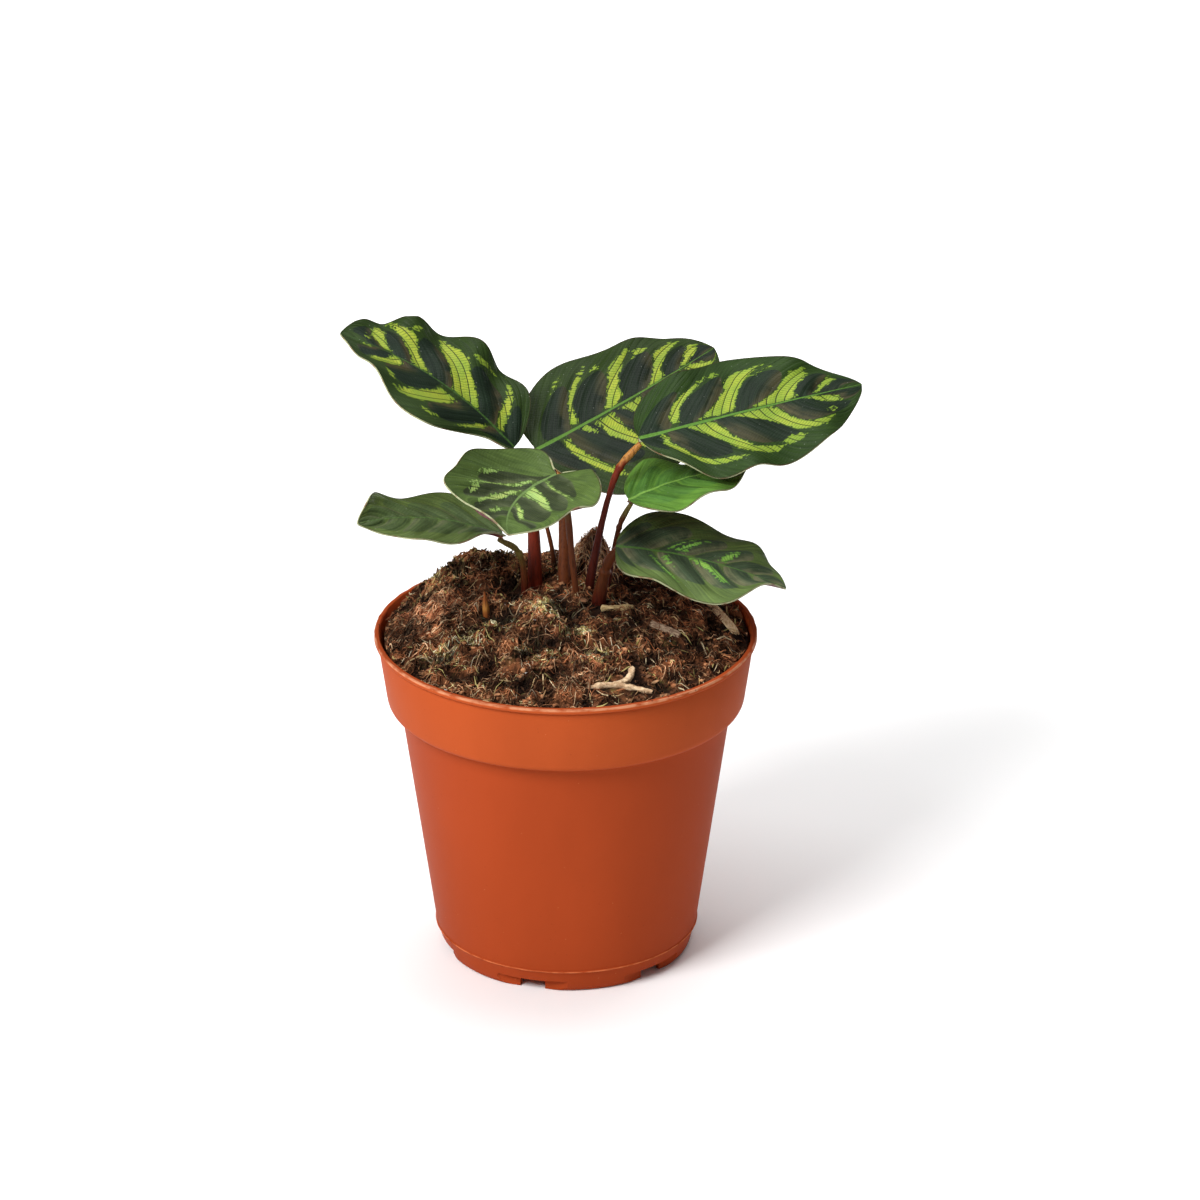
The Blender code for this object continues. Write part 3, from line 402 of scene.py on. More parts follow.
# Leaf stalks: routes as in the frame, each point (x, y, z, radius), and how slim some of
# them grow over a stretch of their way up
STALK_FOOT = 96.3
JOINT_REACH = 0.6
SLIM_STRETCH = (0.4, 0.8)
SLIM_TOPS = {"right": 0.80, "low_left": 0.85, "small_right": 0.85}
SPEAR_SLIMNESS = 0.82
STALK_ROUGHNESS = 0.09
STALKS = {
    "upper_left": (
        (-8.7, 12.5, STALK_FOOT, 2.3), (-8.8, 13.0, 104.0, 2.2), (-9.2, 15.5, 120.0, 1.7),
        (-10.9, 20.0, 132.0, 1.4),
    ),
    "back": (
        (-0.5, 8.6, STALK_FOOT, 1.9), (-0.5, 9.4, 105.0, 1.8), (-0.6, 15.0, 120.0, 1.5),
        (-1.2, 25.0, 131.0, 1.4),
    ),
    "right": (
        (5.7, 6.0, STALK_FOOT, 1.7), (6.0, 6.1, 103.0, 1.5), (9.0, 7.0, 120.0, 1.1),
        (12.2, 8.4, 133.5, 1.0), (15.2, 9.4, 141.5, 1.3),
    ),
    "front": (
        (3.4, 2.0, STALK_FOOT, 1.1), (3.1, 2.3, 103.0, 1.0), (1.6, 3.2, 118.0, 0.9),
        (0.3, 4.0, 131.0, 1.0),
    ),
    "low_left": (
        (-11.9, 8.6, STALK_FOOT, 1.1), (-11.6, 8.3, 104.0, 1.0), (-12.2, 7.4, 113.0, 0.9),
        (-14.0, 6.0, 118.0, 1.0),
    ),
    "small_right": (
        (11.2, 8.6, STALK_FOOT, 0.9), (11.5, 8.3, 103.0, 0.8), (13.6, 6.6, 118.0, 0.7),
        (15.6, 5.0, 127.0, 0.9),
    ),
    "low_right": (
        (8.9, 1.6, STALK_FOOT, 2.2), (9.2, 1.4, 103.5, 2.1), (10.8, 0.6, 112.5, 1.5),
        (12.2, -0.4, 117.4, 1.3),
    ),
}
DRY_STALK = ((-3.2, 27.0, STALK_FOOT, 0.8), (-3.9, 27.4, 108.0, 0.7), (-7.0, 28.0, 121.0, 0.5))
SPEAR = (
    (-22.0, -2.0, 98.5, 0.9), (-22.3, -2.1, 102.0, 1.3), (-22.6, -2.1, 105.5, 0.9),
    (-22.8, -2.2, 108.5, 0.25),
)
# Colours of a stalk from its foot up to its joint, and the heights where they change
Bark = namedtuple("Bark", "foot middle top joint middle_at top_at joint_at")
DARK_RED = (0.085, 0.012, 0.006)
RED = (0.150, 0.018, 0.007)
BROWN = (0.140, 0.038, 0.012)
DARK_BROWN = (0.055, 0.016, 0.007)
OLIVE = (0.17, 0.130, 0.035)
AMBER = (0.42, 0.180, 0.042)
ORANGE_BROWN = (0.23, 0.066, 0.016)
BARKS = {
    "petiole_upper_left": Bark(DARK_RED, RED, RED, OLIVE, 106.0, 128.0, 138.0),
    "petiole_back": Bark(DARK_BROWN, BROWN, BROWN, AMBER, 106.0, 124.0, 132.0),
    "petiole_right": Bark(DARK_RED, DARK_RED, RED, AMBER, 108.0, 142.0, 144.5),
    "petiole_front": Bark(DARK_BROWN, BROWN, BROWN, OLIVE, 104.0, 126.0, 136.0),
    "petiole_low_left": Bark(DARK_BROWN, DARK_RED, BROWN, OLIVE, 104.0, 110.0, 117.0),
    "petiole_small_right": Bark(DARK_BROWN, DARK_RED, BROWN, OLIVE, 108.0, 127.0, 130.5),
    "petiole_low_right": Bark(DARK_BROWN, DARK_RED, BROWN, BROWN, 104.0, 112.0, 119.0),
    "dry_stalk": Bark(DARK_BROWN, DARK_BROWN, BROWN, BROWN, 104.0, 112.0, 119.0),
    "spear_shoot": Bark(DARK_BROWN, ORANGE_BROWN, AMBER, ORANGE_BROWN, 101.0, 104.0, 107.0),
}

# Wood: chips are (x, y, heading, length, width, thickness); twigs are routes
WOOD_CHIP = (44.2, 7.0, 112.0, 19.0, 2.6, 1.2)
BARK_STICK = (27.8, -10.0, -28.0, 9.5, 1.8, 1.6)
CHIP_SINK = 0.3
CHIP_CUTS = 22
TWIG_RADIUS = 0.8
TWIG_SINK = 0.2
TWIG_ROUGHNESS = 0.27
SHORT_TWIG = ((10.0, -3.6), (14.4, -2.4), (18.8, -0.4))
FORKED_TWIG = (
    ((6.5, -41.5), (14.0, -40.0), (24.0, -41.0)),
    ((13.4, -40.2), (17.5, -36.5), (18.5, -32.0)),
)

# Stage, in metres: each light has a name, a place, a size, the setting with its power,
# and an aim
PLANT_MIDDLE = (0.0, 0.0, 0.09)
LIGHTS = (
    ("key_light", (-0.68, -0.74, 0.98), 0.60, "key", PLANT_MIDDLE),
    ("fill_light", (0.9, -0.9, 0.5), 0.9, "fill", PLANT_MIDDLE),
    ("overhead_light", (0.1, 0.25, 1.1), 0.8, "overhead", PLANT_MIDDLE),
    ("left_floor_light", (-0.6, 0.85, 0.85), 0.9, "far_floor", (-0.6, 1.6, 0.0)),
    ("right_floor_light", (0.8, 0.85, 0.85), 0.9, "far_floor", (0.8, 1.6, 0.0)),
)
WORLD_STRENGTH = 0.18
FLOOR_RADIUS = 4.0
FLOOR_RIM = 0.05
FLOOR_DROP = 0.0002


# Small helpers for scenes and meshes

def clear_selection():
    if bpy.context.object and bpy.context.object.mode != "OBJECT":
        bpy.ops.object.mode_set(mode="OBJECT")
    bpy.ops.object.select_all(action="DESELECT")


def pick(item):
    clear_selection()
    item.select_set(True)
    bpy.context.view_layer.objects.active = item


def finish_piece(item, nodes, smooth_angle=None):
    """Settles a finished piece in the frame and hides the frame's parts for the nodes it stands
    for.
    """
    pick(item)
    bpy.ops.object.transform_apply(location=True, rotation=True, scale=True)
    if smooth_angle is None:
        bpy.ops.object.shade_smooth()
    else:
        bpy.ops.object.shade_smooth_by_angle(angle=math.radians(smooth_angle))
    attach(item, BODY)
    if nodes:
        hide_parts(*nodes)


def edit_all():
    """Starts to edit the active mesh, with all of it selected."""
    bpy.ops.object.mode_set(mode="EDIT")
    bpy.ops.mesh.select_all(action="SELECT")


def face_outwards():
    """Turns all faces of the edited mesh outwards, and ends the edit."""
    bpy.ops.mesh.select_all(action="SELECT")
    bpy.ops.mesh.normals_make_consistent(inside=False)
    bpy.ops.object.mode_set(mode="OBJECT")


def apply_modifiers(item):
    pick(item)
    for modifier in list(item.modifiers):
        bpy.ops.object.modifier_apply(modifier=modifier.name)


def coordinates(mesh):
    """Places of all vertices, one row each."""
    flat = np.empty(len(mesh.vertices) * 3)
    mesh.vertices.foreach_get("co", flat)
    return flat.reshape(-1, 3)


def move_vertices(mesh, places):
    mesh.vertices.foreach_set("co", np.asarray(places, float).ravel())
    mesh.update()


def add_vector_attribute(mesh, name, values):
    attribute = mesh.attributes.new(name, "FLOAT_VECTOR", "POINT")
    attribute.data.foreach_set("vector", np.asarray(values, float).ravel())


def smooth_value(stations, values, at):
    """A smooth curve through the values at the stations, read at an array of places."""
    stations = np.asarray(stations, float)
    values = np.asarray(values, float)
    slopes = np.diff(values) / np.diff(stations)
    inner = (values[2:] - values[:-2]) / (stations[2:] - stations[:-2])
    slopes = np.concatenate([slopes[:1], inner, slopes[-1:]])
    left = np.clip(np.searchsorted(stations, at, side="right") - 1, 0, len(stations) - 2)
    span = stations[left + 1] - stations[left]
    part = (at - stations[left]) / span
    return (
        (2 * part**3 - 3 * part**2 + 1) * values[left]
        + (part**3 - 2 * part**2 + part) * span * slopes[left]
        + (3 * part**2 - 2 * part**3) * values[left + 1]
        + (part**3 - part**2) * span * slopes[left + 1]
    )


def smooth_route(points, segments):
    """Points along a smooth curve through a few given points, each with its radius."""
    points = np.asarray(points, float)
    steps = np.linalg.norm(np.diff(points[:, :3], axis=0), axis=1)
    run = np.concatenate([[0.0], np.cumsum(steps)])
    at = np.linspace(0.0, run[-1], segments + 1)
    return np.stack([smooth_value(run, points[:, k], at) for k in range(points.shape[1])], axis=1)


def draw_tube(name, route):
    """A round stem drawn along a route of (x, y, z, radius) as a path, then made a mesh."""
    clear_selection()
    bpy.ops.curve.primitive_nurbs_path_add()
    item = bpy.context.object
    item.name = name
    curve = item.data
    curve.splines.clear()
    spline = curve.splines.new("POLY")
    spline.points.add(len(route) - 1)
    for point, (x, y, z, radius) in zip(spline.points, route):
        point.co = (x * MM, y * MM, z * MM, 1.0)
        point.radius = radius
    curve.bevel_depth = MM
    curve.bevel_resolution = 5
    curve.use_fill_caps = True
    bpy.ops.object.convert(target="MESH")
    item = bpy.context.object
    edit_all()
    bpy.ops.mesh.remove_doubles(threshold=MERGE)
    face_outwards()
    return item


# Materials

class Paint:
    """The shader nodes of one material, wired up as they are added."""

    def __init__(self, name):
        self.material = bpy.data.materials.new(name)
        self.material.use_nodes = True
        self.tree = self.material.node_tree
        self.surface = self.tree.nodes["Principled BSDF"]

    def feed(self, socket, value):
        if isinstance(value, bpy.types.NodeSocket):
            self.tree.links.new(value, socket)
        elif isinstance(value, (tuple, list)) and len(value) == 3 and socket.type == "RGBA":
            socket.default_value = (*value, 1.0)
        else:
            socket.default_value = value

    def node(self, kind, inputs, output=0, **settings):
        node = self.tree.nodes.new("ShaderNode" + kind)
        for key, value in settings.items():
            setattr(node, key, value)
        for key, value in inputs.items():
            self.feed(node.inputs[key], value)
        return node.outputs[output]

    def math(self, operation, first, second=0.0, clamp=False):
        return self.node("Math", {0: first, 1: second}, operation=operation, use_clamp=clamp)

    def times(self, first, second, clamp=False):
        return self.math("MULTIPLY", first, second, clamp)

    def over(self, first, second):
        return self.math("DIVIDE", first, second)

    def plus(self, first, second):
        return self.math("ADD", first, second)

    def minus(self, first, second):
        return self.math("SUBTRACT", first, second)

    def rest(self, share):
        """What a share leaves of 1."""
        return self.minus(1.0, share)

    def saw(self, value):
        """How far a value is from the nearest whole number."""
        return self.math("PINGPONG", value, 0.5)

    def total(self, *terms):
        """Sum of values, each times its own factor."""
        result = self.times(*terms[0])
        for value, factor in terms[1:]:
            result = self.plus(result, self.times(value, factor))
        return result

    def step(self, value, low, high):
        """Rises smoothly from 0 to 1 as the value goes from low to high."""
        keys = {"Value": value, "From Min": low, "From Max": high}
        return self.node("MapRange", keys, interpolation_type="SMOOTHSTEP")

    def mix(self, share, first, second):
        return self.node("Mix", {0: share, 6: first, 7: second}, output=2, data_type="RGBA")

    def tint(self, colour, mask, strength, other):
        """Mixes another colour in where a mask says, up to a strength."""
        return self.mix(self.times(mask, strength), colour, other)

    def multiply(self, share, colour, factor):
        keys = {0: share, 6: colour, 7: factor}
        return self.node("Mix", keys, output=2, data_type="RGBA", blend_type="MULTIPLY")

    def split(self, vector):
        outputs = self.node("SeparateXYZ", {0: vector}).node.outputs
        return outputs[0], outputs[1], outputs[2]

    def join(self, x, y, z=0.0):
        return self.node("CombineXYZ", {0: x, 1: y, 2: z})

    def place(self, scale=(1.0, 1.0, 1.0)):
        """Object coordinates in millimetres, drawn out by a scale."""
        found = self.node("TexCoord", {}, output=3)
        return self.node("Mapping", {0: found, 3: tuple(s / MM for s in scale)})

    def attribute(self, name):
        return self.split(self.node("Attribute", {}, output=1, attribute_name=name))

    def noise(self, vector, size, detail=2.0, roughness=0.5, distortion=0.0):
        """Even noise from 0 to 1 whose spots are about so many units across."""
        keys = {
            "Vector": vector, "Scale": 1.0 / size, "Detail": detail,
            "Roughness": roughness, "Distortion": distortion,
        }
        return self.node("TexNoise", keys)

    def grains(self, vector, size):
        """Distance to the nearest of scattered points, so many units apart."""
        return self.node("TexVoronoi", {"Vector": vector, "Scale": 1.0 / size})

    def blocks(self, x, y, z):
        """A random number from 0 to 1 for each unit square of x and y."""
        corner = self.join(self.math("FLOOR", x), self.math("FLOOR", y), z)
        return self.node("TexWhiteNoise", {"Vector": corner})

    def relief(self, height, strength, distance):
        keys = {"Height": height, "Strength": strength, "Distance": distance * MM}
        bump = self.node("Bump", keys)
        self.feed(self.surface.inputs["Normal"], bump)

    def set(self, **values):
        for key, value in values.items():
            self.feed(self.surface.inputs[key.replace("_", " ")], value)
        return self.material

    def finish(self, colour, rough, mottle, amount, mirror):
        """Sets a colour, a roughness that a mottle adds to, and how much light is mirrored."""
        roughness = self.plus(rough, self.times(mottle, amount))
        return self.set(Base_Color=colour, Roughness=roughness, Specular_IOR_Level=mirror)


def scaled(colour, factor):
    """A colour made lighter or darker, by one factor or by one for each channel."""
    return tuple(np.multiply(colour, factor).tolist())


def stripes_paint(leaf, tone, settings):
    """Upper face of a blade: margin, dark ovals with painted sheen on one side, and feathered
    stripes.
    """
    paint = Paint("blade_" + leaf.name)
    stripe, oval, flank = paint.attribute("marks")
    run, out, edge = paint.attribute("veins")
    along, half, middle = paint.attribute("half")
    grid = paint.join(run, out, half)
    cells = paint.place()
    soft = paint.noise(cells, 6.0, 3.0)
    fine = paint.noise(cells, 0.5, 3.0, 0.6)

    # Cross veins cut the stripes into coarse and slim teeth, longer near a stripe's ends
    wander = paint.noise(paint.join(paint.times(run, 0.5), out, half), 1.6, 2.0)
    course = paint.total((along, 0.5 * leaf.length), (out, 0.82), (wander, 0.9))
    tooth_course = paint.over(course, settings.cross_spacing / MM)
    saw = paint.saw(tooth_course)
    cross = paint.rest(paint.step(saw, 0.06, 0.24))
    tooth = paint.blocks(paint.times(run, 0.3), tooth_course, half)
    slim_tooth = paint.blocks(paint.times(run, 0.75), paint.times(tooth_course, 2.0), half)
    both = paint.total((tooth, 0.55), (slim_tooth, 0.45))
    tooth_length = paint.plus(1.25, paint.times(paint.rest(middle), 1.5))
    ragged = paint.times(paint.minus(both, 0.52), tooth_length)
    bright = paint.step(paint.plus(stripe, ragged), 0.04, 0.16)

    # Side veins run through the stripes as thin dark lines, and pale ones through the dark
    drift = paint.times(paint.minus(paint.noise(grid, 9.0, 1.0), 0.5), 1.6)
    vein_course = paint.over(paint.plus(run, drift), settings.vein_spacing / MM)
    vein_saw = paint.saw(vein_course)
    vein = paint.rest(paint.step(vein_saw, 0.035, 0.095))
    hairline = paint.saw(paint.times(vein_course, 4.0))

    margin = paint.mix(paint.step(soft, 0.35, 0.7), tone.margin, scaled(tone.margin, 1.25))
    dark = paint.mix(paint.step(soft, 0.4, 0.65), tone.dark, scaled(tone.dark, 1.3))
    # Painted sheen, brownish olive, on the side of each dark oval that faces the light
    sheen_mask = paint.times(flank, paint.step(soft, 0.2, 0.6), clamp=True)
    dark = paint.mix(paint.step(sheen_mask, 0.05, 0.75), dark, tone.flank)
    colour = paint.mix(paint.step(oval, -0.15, 0.35), margin, dark)
    streak = paint.noise(paint.join(run, paint.times(out, 0.09), half), 0.85, 3.0, 0.62)
    colour = paint.multiply(paint.step(streak, 0.52, 0.36), colour, (0.74, 0.77, 0.80))
    colour = paint.multiply(paint.step(streak, 0.52, 0.68), colour, (1.30, 1.26, 1.20))
    colour = paint.tint(colour, paint.step(hairline, 0.38, 0.5), 0.16, scaled(tone.margin, 2.4))

    ripeness = paint.step(paint.noise(grid, 5.0, 3.0), 0.35, 0.65)
    ripe = paint.mix(ripeness, tone.stripe, scaled(tone.stripe, (0.72, 0.86, 0.9)))
    core = paint.times(paint.step(stripe, -0.1, 0.6), paint.step(middle, -0.5, 0.9))
    ripe = paint.mix(core, scaled(tone.stripe, (0.52, 0.68, 0.6)), ripe)
    cross_line = paint.times(cross, paint.plus(0.25, paint.times(fine, 0.7)))
    ripe = paint.mix(cross_line, ripe, (tone.stripe[0] * 0.24, tone.stripe[1] * 0.34, 0.02))
    ripe = paint.tint(ripe, vein, 0.92, tone.dark)
    colour = paint.tint(colour, bright, tone.clear, ripe)

    # Midrib, widest at the base, and a thin dark line along the margin
    rib_half = paint.times(paint.minus(1.05, along), tone.rib_width)
    rib = paint.step(paint.minus(rib_half, out), -0.14, 0.10)
    colour = paint.mix(rib, colour, tone.rib)
    rim = paint.rest(paint.step(edge, 0.12, 0.42))
    colour = paint.tint(colour, rim, 0.7, (0.045, 0.028, 0.012))

    # Pale specks of dust, and a fine dark mottle
    dust = paint.step(paint.grains(cells, 1.9), 0.085, 0.03)
    colour = paint.tint(colour, dust, 0.45, (0.42, 0.46, 0.38))
    colour = paint.tint(colour, fine, 0.22, scaled(tone.dark, 0.5))

    height = paint.total(
        (paint.step(saw, 0.0, 0.25), 0.35), (paint.step(vein_saw, 0.0, 0.3), 0.8),
        (hairline, 0.35), (fine, 0.3), (streak, 0.9),
    )
    paint.relief(height, 0.55, 0.18)
    return paint.finish(colour, 0.36, soft, 0.16, 0.11)


def underside_paint(leaf, settings):
    """Underside of a blade: wine red, with its veins in relief and the stripes paler."""
    paint = Paint("underside_" + leaf.name)
    stripe, oval, _ = paint.attribute("marks")
    run, out, edge = paint.attribute("veins")
    along = paint.attribute("half")[0]
    base = tuple(settings.underside)
    soft = paint.noise(paint.place(), 5.0, 3.0)
    saw = paint.saw(paint.over(run, settings.vein_spacing / MM))
    colour = paint.mix(paint.step(soft, 0.3, 0.7), base, scaled(base, 1.5))
    colour = paint.tint(colour, paint.step(stripe, -0.4, 0.6), 0.7, (0.18, 0.10, 0.055))
    vein = paint.rest(paint.step(saw, 0.03, 0.10))
    colour = paint.tint(colour, vein, 0.6, scaled(base, 0.6))
    rib = paint.step(paint.minus(paint.minus(1.2, along), out), -0.2, 0.2)
    colour = paint.mix(rib, colour, (0.20, 0.075, 0.035))
    rim = paint.rest(paint.step(edge, 0.2, 0.7))
    colour = paint.mix(rim, colour, (0.10, 0.05, 0.03))
    paint.relief(paint.plus(vein, paint.times(soft, 0.4)), 0.4, 0.15)
    return paint.finish(colour, 0.5, paint.step(oval, -1.0, 1.0), 0.1, 0.5)


def edge_paint(leaf, pale):
    """Thin edge of a blade: pale, browned in places."""
    paint = Paint("edge_" + leaf.name)
    cells = paint.place()
    browned = paint.step(paint.noise(cells, 3.0, 3.0), 0.48, 0.68)
    colour = paint.mix(browned, pale, (0.20, 0.12, 0.06))
    return paint.set(Base_Color=colour, Roughness=paint.plus(0.45, paint.noise(cells, 0.8)))


def stalk_paint(name, bark):
    """A leaf stalk: streaked along its length, changing colour from foot to joint."""
    paint = Paint(name + "_bark")
    height = paint.split(paint.place())[2]
    streak = paint.noise(paint.place((1.0, 1.0, 0.07)), 0.45, 3.0, 0.6)
    blotch = paint.noise(paint.place((1.0, 1.0, 0.5)), 1.8, 3.0)
    wander = paint.plus(height, paint.times(paint.minus(blotch, 0.5), 4.0))
    colour = paint.mix(paint.step(wander, STALK_FOOT, bark.middle_at), bark.foot, bark.middle)
    colour = paint.mix(paint.step(wander, bark.middle_at, bark.top_at), colour, bark.top)
    colour = paint.mix(paint.step(wander, bark.top_at, bark.joint_at), colour, bark.joint)
    colour = paint.tint(colour, paint.step(streak, 0.48, 0.72), 0.62, scaled(bark.foot, 0.3))
    colour = paint.tint(colour, paint.step(streak, 0.40, 0.25), 0.35, scaled(bark.top, 1.9))
    paint.relief(paint.plus(streak, paint.times(blotch, 0.4)), 0.5, 0.15)
    return paint.finish(colour, 0.34, streak, 0.22, 0.14)


def wood_paint(name, pale, dark, direction):
    """Split or weathered wood, its grain drawn out along one axis."""
    paint = Paint(name)
    grain = paint.noise(paint.place(direction), 0.5, 4.0, 0.65, 0.4)
    blotch = paint.noise(paint.place(), 2.2, 3.0)
    colour = paint.mix(paint.step(grain, 0.35, 0.68), pale, dark)
    colour = paint.tint(colour, paint.step(blotch, 0.5, 0.75), 0.6, dark)
    soiled = paint.step(paint.noise(paint.place(), 0.7, 2.0), 0.62, 0.72)
    colour = paint.tint(colour, soiled, 0.6, (0.035, 0.018, 0.010))
    paint.relief(grain, 0.7, 0.3)
    return paint.finish(colour, 0.62, blotch, 0.3, 0.15)


def shade_and_tone_patches(paint, colour):
    """Darkens the soil and its litter with painted shade for shadowed pits, and lightens them to a
    paler tone elsewhere, both by one and the same noise.
    """
    patch = paint.noise(paint.place(), 5.0, 4.0, 0.62)
    colour = paint.multiply(paint.step(patch, 0.53, 0.41), colour, (0.20, 0.19, 0.19))
    return paint.multiply(paint.step(patch, 0.52, 0.62), colour, (1.80, 1.75, 1.70))


def scatter_paint(name, shades, rough, patchy):
    """Small litter: each bit has its own shade from a list, and is mottled a little; painted shade
    darkens bits deep in a hollow, and some kinds share the soil's painted shade and paler tone.
    """
    paint = Paint(name)
    shade, depth, _ = paint.attribute("shade")
    colour = shades[0]
    for index, other in enumerate(shades[1:], start=1):
        at = index / len(shades)
        colour = paint.mix(paint.step(shade, at - 0.03, at + 0.03), colour, other)
    mottle = paint.noise(paint.place(), 0.7, 3.0)
    colour = paint.tint(colour, mottle, 0.4, scaled(shades[0], 0.4))
    # The soil's broad areas of painted shade and of paler tone
    if patchy:
        colour = shade_and_tone_patches(paint, colour)
    # Painted shade on bits that lie deep in a hollow
    colour = paint.tint(colour, paint.step(depth, 0.0, -1.7), 0.85, (0.010, 0.005, 0.003))
    paint.relief(mottle, 0.5, 0.2)
    return paint.finish(colour, rough, mottle, 0.2, 0.10)


def soil_paint(settings):
    """Moist peat: dark crumbs, reddish fibres matted into it, green bloom on the heaps, areas of
    painted shade and of paler tone, and painted shade in the mound's hollows.
    """
    paint = Paint("potting_soil_peat")
    cells = paint.place()
    base = tuple(settings.peat)
    clods = paint.noise(cells, 2.4, 5.0, 0.62)
    threads = paint.noise(cells, 0.55, 4.0, 0.7, 2.2)
    crumbs = paint.grains(cells, 0.9)
    colour = paint.mix(paint.step(clods, 0.38, 0.66), scaled(base, 0.35), base)
    colour = paint.mix(paint.step(threads, 0.54, 0.68), colour, (0.23, 0.095, 0.042))
    rusty = paint.step(paint.noise(cells, 9.0, 2.0), 0.50, 0.66)
    colour = paint.tint(colour, rusty, 0.5, (0.24, 0.085, 0.034))
    mossy = paint.step(paint.noise(paint.place((1.0, 1.1, 0.9)), 7.0, 3.0), 0.58, 0.70)
    colour = paint.tint(colour, mossy, 0.45, (0.15, 0.15, 0.042))
    colour = paint.mix(paint.step(crumbs, 0.20, 0.06), colour, (0.30, 0.165, 0.085))
    # Broad areas of painted shade, for shadowed pits, and of paler tone
    colour = shade_and_tone_patches(paint, colour)
    # Painted shade in the mound's hollows, near black
    hollow = paint.step(paint.attribute("cavity")[0], 0.2, -1.5)
    colour = paint.tint(colour, hollow, 0.85, (0.008, 0.004, 0.003))
    paint.relief(paint.plus(paint.times(threads, 0.8), clods), 0.9, 0.8)
    return paint.finish(colour, 0.78, clods, 0.2, 0.10)


def pot_paint(settings):
    """Moulded terracotta plastic: even colour, fine grain, flow marks and soil, with painted light
    on the collar, painted highlights on the bead and the lip, and painted shade on the lip's top.
    """
    paint = Paint("terracotta_plastic_finish")
    cells = paint.place()
    base = tuple(settings.colour)
    x, y, z = paint.split(cells)
    flow = paint.noise(paint.place((1.0, 1.0, 0.35)), 26.0, 3.0)
    grain = paint.noise(cells, 0.35, 2.0, 0.7)
    colour = paint.mix(paint.step(flow, 0.3, 0.7), scaled(base, 0.90), base)
    colour = paint.tint(colour, grain, 0.16, scaled(base, 0.62))

    # The collar is painted a little paler than the body, painted light for the light that falls on
    # it from the front and above
    collar = paint.step(z, BODY_TOP[1] + 0.2, BODY_TOP[1] + 1.2)
    colour = paint.multiply(collar, colour, (1.17, 1.36, 1.36))

    # Painted highlights on the bead at the foot and on the lip's outer edge, broken up by noise
    highlight_breakup = paint.step(paint.noise(paint.place((0.4, 0.4, 1.0)), 1.4, 3.0), 0.30, 0.62)
    near_bead = paint.math("ABSOLUTE", paint.minus(z, BEAD_HEIGHT - 0.05))
    bead = paint.times(paint.step(near_bead, 0.34, 0.10), highlight_breakup)
    colour = paint.tint(colour, bead, 0.8, (0.70, 0.20, 0.075))
    squares = paint.plus(paint.math("POWER", x, 2.0), paint.math("POWER", y, 2.0))
    radius = paint.math("SQRT", squares)
    lip_highlight = paint.times(paint.step(radius, 53.35, 53.6), paint.step(z, 95.0, 95.5))
    colour = paint.tint(colour, paint.times(lip_highlight, highlight_breakup), 0.85, (0.74, 0.34, 0.18))
    # Painted shade darkens the top of the lip
    colour = paint.tint(colour, paint.step(z, 95.2, 95.8), 0.35, scaled(base, 0.45))

    # Soil smeared inside and specks of it on the lip and the wall, and a few pale specks
    wall = paint.times(paint.minus(z, COLLAR_FOOT[1]), COLLAR_SLOPE)
    wall = paint.plus(wall, COLLAR_FOOT[0] - WALL)
    inside = paint.step(paint.minus(radius, wall), 0.75, 0.35)
    above = paint.step(z, 78.0, 83.0)
    smear = paint.step(paint.noise(cells, 1.7, 4.0, 0.6), 0.50, 0.62)
    soiled = paint.times(paint.times(inside, above), smear)
    colour = paint.tint(colour, soiled, 0.75, (0.045, 0.020, 0.010))
    crumbs = paint.step(paint.grains(cells, 3.2), 0.13, 0.07)
    on_lip = paint.times(paint.step(z, 94.6, 95.7), crumbs)
    colour = paint.tint(colour, on_lip, 0.75, (0.07, 0.022, 0.012))
    speck = paint.step(paint.grains(cells, 3.4), 0.050, 0.028)
    colour = paint.tint(colour, speck, 0.40, (0.09, 0.02, 0.008))
    pale = paint.step(paint.grains(paint.place((1.0, 1.0, 1.3)), 4.3), 0.040, 0.022)
    colour = paint.tint(colour, pale, 0.5, (0.62, 0.22, 0.10))

    ripple = paint.noise(paint.place((1.0, 1.0, 2.0)), 5.0, 2.0)
    paint.relief(paint.plus(grain, paint.times(ripple, 1.2)), 0.22, 0.08)
    return paint.finish(colour, settings.roughness - 0.05, flow, 0.10, 0.035)


# Soil surface

def soil_radius(height=POT_HEIGHT):
    """Radius of the soil at a height, just inside the collar."""
    narrowing = COLLAR_SLOPE * np.maximum(0.0, POT_HEIGHT - height)
    return COLLAR_TOP_RADIUS - WALL - SOIL_GAP - narrowing


def from_wall(x, y, reach):
    """0 at the pot's wall, and 1 from a reach away from it."""
    return np.clip((soil_radius() - np.hypot(x, y)) / reach, 0.0, 1.0)


def plain_soil_height(x, y):
    """Height of the frame's own mound, on which its litter lies."""
    radius = soil_radius()
    edge = SOIL_EDGE + SOIL_BACK_RISE * y / radius - SOIL_SIDE_DIP * (x / radius) ** 2
    inside = np.maximum(0.0, 1.0 - (x * x + y * y) / radius**2)
    return edge + SOIL_SWELL * inside**SOIL_SWELL_POWER


